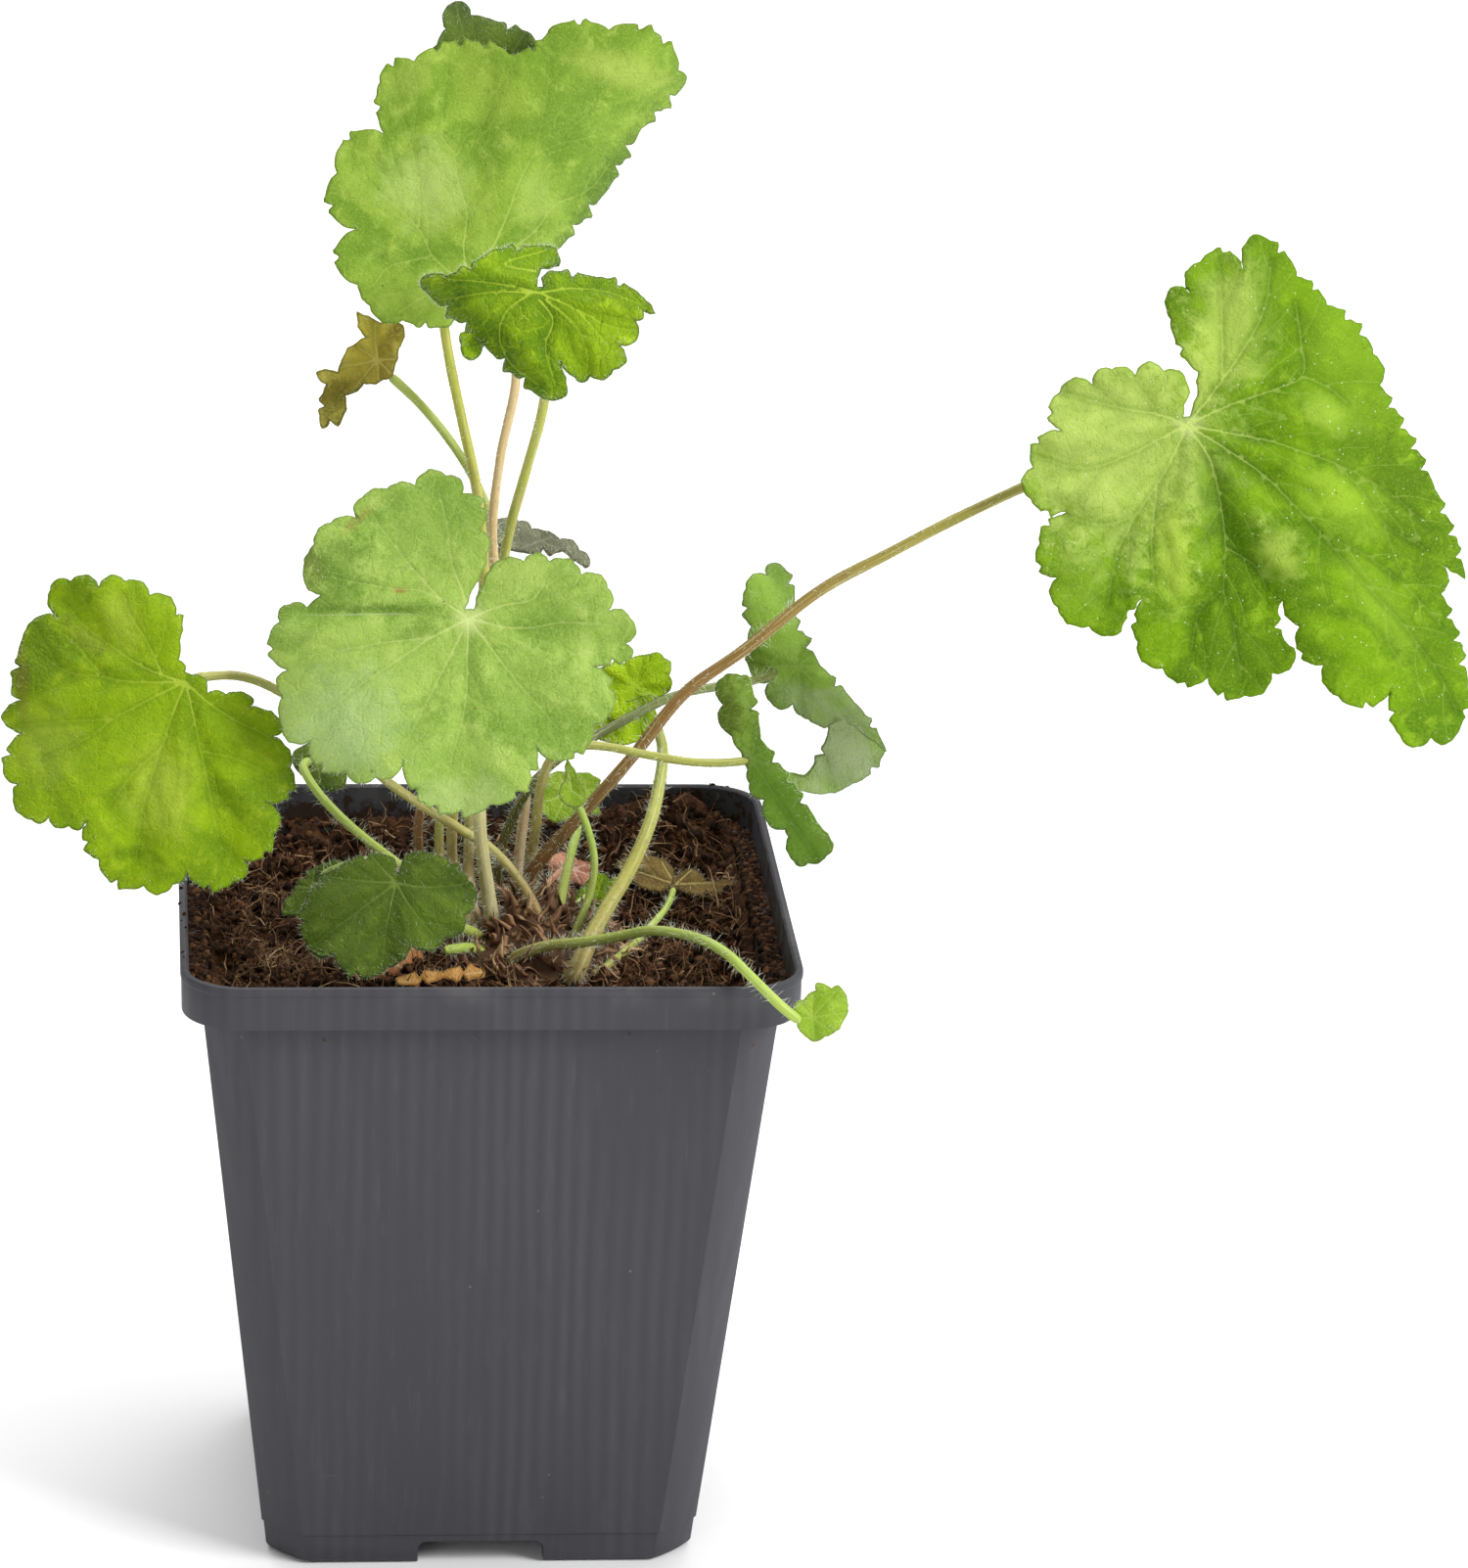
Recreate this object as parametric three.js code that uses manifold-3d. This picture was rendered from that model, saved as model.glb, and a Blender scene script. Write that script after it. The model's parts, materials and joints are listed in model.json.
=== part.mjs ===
// Potted musk mallow: a young clump of long-stalked leaves in a square nursery pot.
// Millimetres, +Z up. The origin is the centre of the pot's base, on the surface it stands on.
import * as THREE from "three";
import { mergeVertices } from "three/addons/utils/BufferGeometryUtils.js";
import Module from "manifold-3d";

const wasm = await Module();
wasm.setup();

// Pot sizes
const RIM_HALF = 45;
const POT_HEIGHT = 96.5;
const BAND_BOTTOM = 90;
const BODY_TOP_HALF = 41.8;
const BASE_HALF = 32;
const FLOOR_TOP = 5.2;
const WALL = 1;
const RIM_CORNER = 9.2;
const MOUTH_CORNER = 8;
const BAND_STEP = 0.2;
const LIP_HEIGHT = 1.1;
const EDGE_ROUND = 0.3;
const FOOT_HEIGHT = 4.7;
const FOOT_STEP = 0.25;
const FOOT_ROUND = 0.9;
const BODY_CORNER = 5.9;
const BODY_ROUNDNESS = 0.25;
const RECESS_WIDTH = 18.8;
const RECESS_HEIGHT = 3.7;
const RECESS_DEPTH = 12;
const RECESS_CORNER = 1.5;
const DRAIN_RADIUS = 3.5;

// Plant sizes
const CLEARANCE = 0.3;
const ROUNDING = 1e-6;
const BLADE_THICKNESS = 0.7;
const EDGE_STEP = 2.9;
const SHEET_CELL = 3.6;
const EDGE_MARGIN = 0.45;
const STALK_SIDES = 7;
const COMPOST_LEVEL = 84.5;
const CROWN_HEART = new THREE.Vector3(7, -5, 84);
const CROWN_RADII = new THREE.Vector3(13, 15, 9.5);
const CROWN_SLOPE = 0.12;
const ROOT_SINK = 3;
const ROOT_SLANT = new THREE.Vector3(0.4, 0.4, 1);

// Every leaf is laid out as it is seen from one standing point in front of the plant, with this
// direction as its upward one. A leaf's relief moves its points along their own sight lines.
const STANDPOINT = new THREE.Vector3(-52, -992, 455.3);
const SIGHT_UP = new THREE.Vector3(0.0009, 0.3262, 0.9453);

const COLOURS = {
  pot: [0x4e4d52, 0.5],
  compost: [0x2b1c12, 0.95],
  crown: [0x8a6a3e, 0.9],
  fresh: [0x8bbf35, 0.6],
  light: [0x9cc46a, 0.65],
  vivid: [0x7fb51a, 0.55],
  mid: [0x5f9a35, 0.6],
  dark: [0x3f6f2c, 0.65],
  withered: [0x7a6a20, 0.8],
  dry: [0xb0764a, 0.85],
  grey: [0x7f8a66, 0.8],
  olive: [0xa5a04b, 0.6],
  tan: [0xc7a578, 0.65],
  brown: [0xa0703f, 0.65],
  green: [0x93ab45, 0.6],
};

// A closed geometry as a solid that can be cut and joined.
function solid(geometry) {
  const plain = geometry.clone();
  plain.deleteAttribute("normal");
  plain.deleteAttribute("uv");
  const merged = mergeVertices(plain, 1e-4);
  return new wasm.Manifold(
    new wasm.Mesh({
      numProp: 3,
      vertProperties: new Float32Array(merged.attributes.position.array),
      triVerts: new Uint32Array(merged.index.array),
    }),
  );
}

// The largest single body of a solid, without the crumbs that a cut leaves.
function mainBody(cut) {
  return cut.decompose().reduce((best, body) => (body.volume() > best.volume() ? body : best));
}

// A solid as a named mesh in its colour.
function node(name, shape, colour) {
  const mesh = shape.getMesh();
  const geometry = new THREE.BufferGeometry();
  geometry.setAttribute("position", new THREE.Float32BufferAttribute(mesh.vertProperties, 3));
  geometry.setIndex([...mesh.triVerts]);
  geometry.computeVertexNormals();
  const [color, roughness] = COLOURS[colour];
  const part = new THREE.Mesh(
    geometry,
    new THREE.MeshStandardMaterial({ color, roughness, metalness: 0 }),
  );
  part.name = name;
  return part;
}

// A closed body through a stack of point rings of equal count, capped at both ends.
function loft(rings) {
  const count = rings[0].length;
  const points = rings.flat();
  const faces = [];
  for (let k = 0; k + 1 < rings.length; k++)
    for (let i = 0; i < count; i++) {
      const a = k * count + i;
      const b = k * count + ((i + 1) % count);
      faces.push(a, b, b + count, a, b + count, a + count);
    }
  const middle = (ring) =>
    ring.reduce((sum, p) => sum.add(p), new THREE.Vector3()).divideScalar(ring.length);
  const first = points.push(middle(rings[0])) - 1;
  const last = points.push(middle(rings.at(-1))) - 1;
  const top = (rings.length - 1) * count;
  for (let i = 0; i < count; i++) {
    const next = (i + 1) % count;
    faces.push(first, next, i, last, top + i, top + next);
  }
  return new THREE.BufferGeometry().setFromPoints(points).setIndex(faces);
}

// A square ring at height z with its corners cut by a straight facet (roundness 0) or an arc (1).
function squareRing(half, corner, roundness, z, steps = 5) {
  const ring = [];
  for (let quarter = 0; quarter < 4; quarter++)
    for (let i = 0; i <= steps; i++) {
      const t = i / steps;
      const angle = (t * Math.PI) / 2;
      const x = half - corner + corner * THREE.MathUtils.lerp(1 - t, Math.cos(angle), roundness);
      const y = half - corner + corner * THREE.MathUtils.lerp(t, Math.sin(angle), roundness);
      ring.push(
        new THREE.Vector3(x, y, z).applyAxisAngle(
          new THREE.Vector3(0, 0, 1),
          (quarter * Math.PI) / 2,
        ),
      );
    }
  return ring;
}

// Half width of the tapering body's outside at height z.
const bodyHalf = (z) => BASE_HALF + ((BODY_TOP_HALF - BASE_HALF) * z) / BAND_BOTTOM;

// The inside of the pot from the top of its floor to its mouth, drawn in by a clearance.
function cavityRings(inset) {
  const mouth = RIM_HALF - BAND_STEP - WALL;
  const body = (z) =>
    squareRing(bodyHalf(z) - WALL - inset, BODY_CORNER - WALL / 2, BODY_ROUNDNESS, z);
  return [
    squareRing(mouth - inset, MOUTH_CORNER, 1, POT_HEIGHT - EDGE_ROUND),
    squareRing(mouth - BAND_STEP - inset, MOUTH_CORNER, 1, BAND_BOTTOM + WALL + EDGE_ROUND + inset),
    body(BAND_BOTTOM + WALL + inset),
    body(FLOOR_TOP + inset),
  ];
}

function pot() {
  const body = (z, inset = 0) => squareRing(bodyHalf(z) - inset, BODY_CORNER, BODY_ROUNDNESS, z);
  const rim = (inset, z) => squareRing(RIM_HALF - inset, RIM_CORNER - inset, 1, z);
  const shell = solid(
    loft([
      body(0, FOOT_ROUND),
      body(FOOT_ROUND, FOOT_STEP),
      body(FOOT_HEIGHT, FOOT_STEP),
      body(FOOT_HEIGHT + FOOT_STEP),
      body(BAND_BOTTOM),
      rim(BAND_STEP + EDGE_ROUND, BAND_BOTTOM),
      rim(BAND_STEP, BAND_BOTTOM + EDGE_ROUND),
      rim(BAND_STEP, POT_HEIGHT - LIP_HEIGHT - EDGE_ROUND),
      rim(0, POT_HEIGHT - LIP_HEIGHT),
      rim(0, POT_HEIGHT - EDGE_ROUND),
      rim(EDGE_ROUND, POT_HEIGHT),
      rim(WALL - EDGE_ROUND / 2, POT_HEIGHT),
      ...cavityRings(0),
    ]),
  );
  const arch = new THREE.Shape();
  const half = RECESS_WIDTH / 2;
  arch.moveTo(-half, -1);
  arch.lineTo(half, -1);
  arch.lineTo(half, RECESS_HEIGHT - RECESS_CORNER);
  arch.absarc(half - RECESS_CORNER, RECESS_HEIGHT - RECESS_CORNER, RECESS_CORNER, 0, Math.PI / 2);
  arch.absarc(
    RECESS_CORNER - half,
    RECESS_HEIGHT - RECESS_CORNER,
    RECESS_CORNER,
    Math.PI / 2,
    Math.PI,
  );
  let cut = shell;
  for (let side = 0; side < 4; side++) {
    const turn = (side * Math.PI) / 2;
    const recess = new THREE.ExtrudeGeometry(arch, {
      depth: RECESS_DEPTH + 2,
      bevelEnabled: false,
      curveSegments: 4,
    });
    recess.rotateX(Math.PI / 2);
    recess.translate(0, RECESS_DEPTH - BASE_HALF, 0);
    recess.rotateZ(turn);
    const drain = new THREE.CylinderGeometry(DRAIN_RADIUS, DRAIN_RADIUS, 2 * FLOOR_TOP, 16);
    drain.rotateX(Math.PI / 2);
    drain.translate(0, RECESS_DEPTH / 2 - BASE_HALF, FLOOR_TOP);
    drain.rotateZ(turn);
    cut = cut.subtract(solid(recess)).subtract(solid(drain));
  }
  return cut;
}

// Height of the loose compost: hollows, mounds against the walls, and small lumps.
function compostHeight(x, y) {
  const mound = (cx, cy, rx, ry, h) => h * Math.exp(-(((x - cx) / rx) ** 2) - ((y - cy) / ry) ** 2);
  return (
    COMPOST_LEVEL +
    mound(7, -5, 15, 15, 2) +
    mound(31, 42, 15, 12, 10) +
    mound(44, 10, 7, 20, 5) +
    mound(-44, -8, 8, 26, 5) +
    mound(-12, 42, 26, 8, 6) +
    mound(-12, -18, 14, 10, 3.6) -
    mound(-27, 8, 13, 13, 4) -
    mound(36, -33, 10, 8, 4) +
    0.7 * Math.sin(0.55 * x + 1.3) * Math.sin(0.61 * y) +
    0.5 * Math.sin(1.05 * x + 0.7 * y) +
    0.4 * Math.cos(1.3 * y - 0.4 * x)
  );
}

// A block with the compost's lumpy top, cut to the inside of the pot.
function compost() {
  const cells = 20;
  const block = new THREE.BoxGeometry(92, 92, 100, cells, cells, 1);
  block.translate(0, 0, 50);
  const place = block.attributes.position;
  for (let i = 0; i < place.count; i++)
    if (place.getZ(i) > 50) place.setZ(i, compostHeight(place.getX(i), place.getY(i)));
  const cavity = loft(cavityRings(CLEARANCE).reverse());
  return solid(block).intersect(solid(cavity));
}

// The knobbly woody base that all the stalks rise from.
function crown() {
  const lump = new THREE.IcosahedronGeometry(1, 3);
  const place = lump.attributes.position;
  const p = new THREE.Vector3();
  for (let i = 0; i < place.count; i++) {
    p.fromBufferAttribute(place, i);
    const knob = 0.06 * Math.sin(7 * p.x + 2) * Math.cos(6 * p.y) + 0.05 * Math.sin(9 * p.z + 5 * p.x);
    p.multiply(CROWN_RADII).multiplyScalar(1 + knob);
    p.z += CROWN_SLOPE * p.y;
    p.add(CROWN_HEART);
    place.setXYZ(i, p.x, p.y, p.z);
  }
  return solid(lump);
}

// The outline of a blade: the points are its notches, and the stretch from each to the next is
// a round tooth that stands out by its bulge times its width.
function bladeOutline(edge) {
  const area = edge.reduce((sum, [x, y], i) => {
    const [nextX, nextY] = edge[(i + 1) % edge.length];
    return sum + x * nextY - nextX * y;
  }, 0);
  const outward = Math.sign(area);
  const points = [];
  edge.forEach(([x, y, bulge], i) => {
    const [nextX, nextY] = edge[(i + 1) % edge.length];
    const dx = nextX - x;
    const dy = nextY - y;
    const steps = bulge === 0 ? 1 : Math.max(2, Math.round(Math.hypot(dx, dy) / EDGE_STEP));
    for (let s = 0; s < steps; s++) {
      const t = s / steps;
      const out = outward * bulge * (4 * t * (1 - t)) ** 0.75;
      points.push(new THREE.Vector3(x + dx * t + dy * out, y + dy * t - dx * out, 0));
    }
  });
  return outward < 0 ? points.reverse() : points;
}

// Whether flat point d lies inside the circle through a, b and c.
function inCircle(a, b, c, d) {
  const rows = [a, b, c].map((p) => {
    const [x, y] = [p.x - d.x, p.y - d.y];
    return [x, y, x * x + y * y];
  });
  return new THREE.Matrix3(...rows.flat()).determinant() > ROUNDING;
}

// The inside of a flat outline as triangles on its own corners and an even field of points within
// it. The triangles are then turned about, pair by pair, until none is needlessly narrow.
function fillOutline(outline) {
  const points = [...outline];
  const turn = (a, b, c) => (b.x - a.x) * (c.y - a.y) - (b.y - a.y) * (c.x - a.x);
  const faces = THREE.ShapeUtils.triangulateShape(outline, []).map(([a, b, c]) =>
    turn(points[a], points[b], points[c]) < 0 ? [a, c, b] : [a, b, c],
  );
  const sides = outline.map((p, i) => new THREE.Line3(p, outline[(i + 1) % outline.length]));
  const foot = new THREE.Vector3();
  const { min, max } = new THREE.Box3().setFromPoints(outline);
  const rise = (SHEET_CELL * Math.sqrt(3)) / 2;
  for (let row = 1; min.y + row * rise < max.y; row++)
    for (let x = min.x + ((row % 2) * SHEET_CELL) / 2; x < max.x; x += SHEET_CELL) {
      const p = new THREE.Vector3(x, min.y + row * rise, 0);
      const clear = sides.every(
        (side) => side.closestPointToPoint(p, true, foot).distanceTo(p) > EDGE_MARGIN * SHEET_CELL,
      );
      const home = faces.findIndex((face) =>
        face.every((a, i) => turn(points[a], points[face[(i + 1) % 3]], p) > 0),
      );
      if (!clear || home < 0) continue;
      const [a, b, c] = faces[home];
      const added = points.push(p) - 1;
      faces.splice(home, 1, [a, b, added], [b, c, added], [c, a, added]);
    }
  for (let flipped = true; flipped; ) {
    flipped = false;
    const owner = new Map();
    faces.forEach((face, f) => face.forEach((a, i) => owner.set(`${a},${face[(i + 1) % 3]}`, f)));
    const moved = new Set();
    for (const [edge, f] of owner) {
      const [a, b] = edge.split(",").map(Number);
      const g = owner.get(`${b},${a}`);
      if (g === undefined || moved.has(f) || moved.has(g)) continue;
      const c = faces[f].find((v) => v !== a && v !== b);
      const d = faces[g].find((v) => v !== a && v !== b);
      if (!inCircle(points[a], points[b], points[c], points[d])) continue;
      faces[f] = [a, d, c];
      faces[g] = [d, b, c];
      moved.add(f).add(g);
      flipped = true;
    }
  }
  return { points, faces: faces.flat() };
}

// How far a point of a blade stands towards the standing point.
function reliefAt(relief, reach, x, y) {
  const { lean = [0, 0], cup = 0, lift = 0, bends = [], creases = [], ripple = [0, 1, 0] } = relief;
  const angle = Math.atan2(y, x);
  const share = Math.hypot(x, y) / reach;
  let depth = lift + lean[0] * x + lean[1] * y + cup * share * share;
  depth += ripple[0] * share * share * Math.sin(ripple[1] * angle + ripple[2]);
  for (const [direction, start, strength] of bends) {
    const way = THREE.MathUtils.degToRad(direction);
    const past = x * Math.cos(way) + y * Math.sin(way) - start;
    if (past > 0) depth -= strength * past * past;
  }
  for (const [direction, sink, width] of creases) {
    const off = THREE.MathUtils.euclideanModulo(angle / THREE.MathUtils.DEG2RAD - direction + 180, 360);
    depth -= sink * share * Math.exp(-(((off - 180) / width) ** 2));
  }
  return depth;
}

// One sheet of a blade as a closed solid of even thickness around its bent middle surface.
function sheet(at, { edge, relief = {} }, thickness) {
  const towards = STANDPOINT.clone().sub(at);
  const distance = towards.length();
  towards.normalize();
  const right = SIGHT_UP.clone().cross(towards).normalize();
  const up = towards.clone().cross(right);
  const outline = bladeOutline(edge);
  const reach = Math.max(...outline.map((p) => p.length()));
  const flat = fillOutline(outline);
  const middle = flat.points.map((p) => {
    const depth = reliefAt(relief, reach, p.x, p.y);
    return at
      .clone()
      .addScaledVector(right, p.x)
      .addScaledVector(up, p.y)
      .lerp(STANDPOINT, depth / distance);
  });
  const surface = new THREE.BufferGeometry().setFromPoints(middle).setIndex(flat.faces);
  surface.computeVertexNormals();
  const normal = new THREE.Vector3();
  const side = (sign) =>
    middle.map((p, i) => {
      normal.fromBufferAttribute(surface.attributes.normal, i);
      return p.clone().addScaledVector(normal, (sign * thickness) / 2);
    });
  const total = middle.length;
  const all = [...flat.faces];
  for (let i = 0; i < flat.faces.length; i += 3) {
    const [a, b, c] = flat.faces.slice(i, i + 3);
    all.push(a + total, c + total, b + total);
  }
  outline.forEach((_, a) => {
    const b = (a + 1) % outline.length;
    all.push(a, a + total, b + total, a, b + total, b);
  });
  return solid(new THREE.BufferGeometry().setFromPoints([...side(1), ...side(-1)]).setIndex(all));
}

// A leaf's blade: one sheet, or several that are joined where they cross.
function blade(leaf, extra = 0) {
  const at = new THREE.Vector3(...leaf.at);
  const [first, ...rest] = leaf.sheets.map((s) => sheet(at, s, BLADE_THICKNESS + extra));
  return rest.reduce((joined, s) => joined.add(s), first);
}

// A leaf stalk: a tapering tube along its route, sunk a little into the crown.
function stalk({ route, radius }, extra = 0) {
  const points = route.map((p) => new THREE.Vector3(...p));
  const inwards = CROWN_HEART.clone().sub(points[0]).multiply(ROOT_SLANT);
  const root = inwards.setLength(ROOT_SINK).add(points[0]);
  const curve = new THREE.CatmullRomCurve3([root, ...points], false, "centripetal");
  const steps = points.length + 3;
  const { normals, binormals } = curve.computeFrenetFrames(steps, false);
  const rings = [];
  for (let k = 0; k <= steps; k++) {
    const here = curve.getPointAt(k / steps);
    const r = THREE.MathUtils.lerp(radius[0], radius[1], k / steps) + extra;
    const ring = [];
    for (let i = 0; i < STALK_SIDES; i++) {
      const angle = (2 * Math.PI * i) / STALK_SIDES;
      ring.push(
        here
          .clone()
          .addScaledVector(normals[k], r * Math.cos(angle))
          .addScaledVector(binormals[k], r * Math.sin(angle)),
      );
    }
    rings.push(ring);
  }
  return solid(loft(rings));
}

// The leaves. at is where the stalk meets the blade; an edge lists the notches of the outline
// as [right, up, bulge] from there; a route lists the stalk's points from the crown upwards.
const LEAVES = [
  {
    name: "tall_left",
    at: [0.5, 4, 190.8],
    colours: ["light", "tan"],
    sheets: [
      {
        edge: [
          [5, -0.3, 0], [9.5, 2.1, 0], [16.6, 10.8, 0], [21.3, 19.5, 0.04], [27.7, 26.2, 0.25],
          [26.6, 27.9, 0.27], [16.5, 33.7, 0.14], [7.8, 33.7, -0.12], [2, 30.1, 0.17],
          [-11.7, 29, 0.28], [-16.7, 25.9, 0.1], [-16.1, 18.6, 0.33], [-22.9, 12.8, 0.32],
          [-20.2, 4.7, 0.38], [-19.9, -3.4, 0.1], [-18.1, -6.4, 0.25], [-13.3, -8.5, 0.06],
          [-6.7, -9.4, 0.2], [-6.1, -6.3, 0], [-2.2, -2.4, 0],
        ],
        relief: {
          lean: [0, -0.12],
          cup: 3,
          bends: [[-37, -7, 0.07]],
          creases: [[100, 1.5, 9], [62, 1.5, 8], [140, 1, 9]],
        },
      },
    ],
    stalk: {
      radius: [1.2, 1],
      route: [
        [5.5, 6.5, 92], [6, 6, 99.9], [6.7, 5, 109.6], [5.3, 4, 122.3], [2.3, 1.5, 137.6],
        [0.8, 1.5, 150.4], [1.9, 3, 161.9], [4, 5, 173.3], [2.7, 6.5, 180.3], [-2.5, 6, 185.8],
      ],
    },
  },
  {
    name: "back_top",
    at: [-1, 18, 210.1],
    colours: ["dark", "olive"],
    sheets: [
      {
        edge: [
          [6.8, 11.3, 0], [1.1, 13.2, 0.02], [-1.6, 13.7, 0.3], [-4.6, 15.3, 0.2], [-5.3, 11.7, 0.1],
          [-7.5, 3.1, 0.2], [-6.1, -5.4, 0.2], [1.1, -9.2, 0.2], [8, -4, 0.2], [9, 6, 0.1],
        ],
        relief: { lean: [0, -0.2], bends: [[90, 8, 0.1]], ripple: [1, 3, 0] },
      },
    ],
    stalk: {
      radius: [1.2, 1.1],
      route: [
        [-2.3, 1, 90.1], [-3.8, 3, 95.6], [-4.4, 2.5, 102.8], [-3.9, 2, 111.4], [-2.2, 0.5, 127.2],
        [-0.5, -1, 142.9], [-1.8, -1, 157.9], [-3.9, 2, 167.4], [-5.6, 7, 174.9], [-6.5, 11, 181.2],
        [-6, 16, 191.7], [-3.3, 19.5, 202.6], [-1.2, 19.5, 208.8],
      ],
    },
  },
  {
    name: "tall_front",
    at: [6, -15, 191.3],
    colours: ["vivid", "olive"],
    sheets: [
      {
        edge: [
          [0.5, 0.9, 0], [0.3, 2.2, 0], [1.5, 3.2, 0.02], [8.2, 2.3, 0.08], [14.5, -0.2, 0.05],
          [16.6, -2.8, 0.1], [14.9, -2.5, 0.3], [13.8, -3.9, 0.35], [11.6, -7.4, 0.35],
          [10.6, -10.9, 0.25], [7.3, -11.8, 0.35], [5, -11.9, 0.1], [3.1, -9.9, 0], [4.1, -13.6, 0.1],
          [3.6, -14.8, 0.1], [0.5, -15, 0.03], [-8.1, -7, 0.02], [-16.1, 0.2, 0.3],
          [-16.4, 2.5, 0.1], [-13.4, 2.5, -0.05], [-7.1, 6, 0.03], [1.2, 6.7, 0.15], [2.8, 5.3, 0.1],
          [2.8, 3.9, 0], [0.3, 3.5, 0], [-0.3, 2.2, 0], [-0.3, 0.9, 0],
        ],
        relief: {
          lean: [0.1, -0.35],
          bends: [[80, -1, 0.09], [222, 6, 0.14]],
          creases: [[-62, 1.6, 12], [-20, 1, 12], [175, 1, 14]],
        },
      },
      {
        edge: [
          [-7.2, -6.2, 0.1], [-11.3, -5.7, 0.1], [-11.2, -7.3, 0.15], [-9.9, -9.6, 0.15],
          [-8.1, -7.8, 0],
        ],
        relief: { lift: -2.6, lean: [0.1, -0.35] },
      },
    ],
    stalk: {
      radius: [1.2, 1.1],
      route: [
        [-0.9, -3, 91.6], [-1.8, -1, 96.3], [-2, -0.5, 103], [-1.6, -3, 113.2], [0.4, -5, 129.1],
        [1.7, -6, 144.5], [2.7, -7, 153], [5, -9, 163.3], [7.1, -11.5, 173.6], [7.8, -12, 183.5],
        [6.4, -13.2, 190.3],
      ],
    },
  },
  {
    name: "withered",
    at: [-16, 10, 174.3],
    colours: ["withered", "green"],
    sheets: [
      {
        edge: [
          [2.3, -1.8, 0], [3.1, 1.7, 0.1], [3.7, 5.1, 0.1], [0.5, 5.4, 0], [-3.1, 7.1, 0.1],
          [-1.8, 3.3, 0.1], [-5.5, -0.5, 0], [-5.9, -1.8, 0.1], [-9.1, -1.9, 0.1],
          [-7.5, -3.6, 0.1], [-8.2, -10.1, 0.2], [-7.1, -8.9, 0], [-5.9, -9.8, 0.1],
          [-4.8, -5.2, 0.1], [-2.1, -3.5, 0.1], [0.8, -2.9, 0.2],
        ],
        relief: { cup: -2, ripple: [2, 6, 1], creases: [[75, 2, 16], [215, 2, 16]] },
      },
    ],
    stalk: {
      radius: [1.1, 1],
      route: [
        [-3.2, 4, 89.6], [-5.5, 6.5, 94.6], [-6.1, 7, 101.9], [-5.4, 7.5, 109.5], [-2.7, 7.5, 124.9],
        [-0.1, 7, 140.4], [0.6, 6.5, 151.1], [-1.9, 6.5, 157.4], [-5.4, 7, 162.9], [-9.7, 8.5, 167.9],
        [-14.3, 10.5, 171.9],
      ],
    },
  },
  {
    name: "far_right",
    at: [103, 2, 167.3],
    colours: ["fresh", "brown"],
    sheets: [
      {
        edge: [
          [0.3, 1.3, 0], [1.4, 4.4, 0], [1.5, 7.8, 0.1], [-2.5, 15.5, 0.15], [-2.5, 20.2, 0.2],
          [0.5, 19.1, 0.3], [1.8, 24, 0.36], [8.2, 22.7, 0.15], [9.6, 28, 0.14], [16, 21.8, 0.12],
          [20.4, 17.6, 0.12], [27.2, 10.4, 0.2], [28.2, 5.8, 0.03], [36.3, -9.5, 0.04],
          [40.8, -22.7, 0], [37.5, -20.6, 0.2], [37.3, -24.9, 0.05], [41.2, -38.6, 0.08],
          [39.5, -45.8, 0.3], [35.9, -46, 0.35], [31.3, -45.7, 0.12], [30, -38.9, 0.26],
          [22.2, -40, 0.2], [20, -35.4, 0.3], [16.5, -29.7, 0.15], [14.1, -25.8, -0.2],
          [15.8, -32.8, 0.3], [12.5, -36.6, 0.25], [8.5, -39.9, 0.25], [3, -37.3, 0.25],
          [-3.6, -35.9, 0.25], [-7.3, -32, 0.15], [-6.5, -25.6, -0.1], [-9.6, -30.4, 0.2],
          [-14.5, -29.7, 0.2], [-19.1, -26.9, 0.25], [-19.2, -22.5, 0.3], [-21.8, -17.5, 0.2],
          [-17.8, -12.8, 0.2], [-23.1, -10.9, 0.3], [-22.8, -6.2, 0.3], [-18.6, -0.8, 0.3],
          [-18.9, 4.8, 0.3], [-14, 6, 0.3], [-11.1, 8.3, 0.2], [-7.7, 7.4, 0.35], [-3.5, 8, 0.25],
          [-0.2, 6.5, 0], [0.4, 4.8, 0], [-0.5, 2.9, 0], [-0.6, 1.2, 0],
        ],
        relief: {
          lean: [0, -0.22],
          bends: [[15, 6, 0.022]],
          creases: [
            [-30, 2, 5], [-68, 2.5, 6], [-8, 1.5, 5], [35, 1.5, 8], [-118, 1.2, 8], [-168, 1, 9],
          ],
        },
      },
    ],
    stalk: {
      radius: [1.5, 1.1],
      route: [
        [6.5, -1.5, 95.4], [8, -3, 100.1], [12.4, -4, 106.1], [17.8, -4, 112.6], [22.4, -3.5, 118.2],
        [29.6, -1, 126.6], [38.3, 1, 132.6], [49.9, 3.5, 141.3], [59.4, 5, 146.2], [69.5, 6, 151.4],
        [79.6, 6.5, 156.3], [90.2, 7, 161], [98.6, 6, 164.9], [102.6, 3.9, 166.9],
      ],
    },
  },
  {
    name: "front",
    at: [-3.8, -26, 146],
    colours: ["light", "olive"],
    sheets: [
      {
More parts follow.
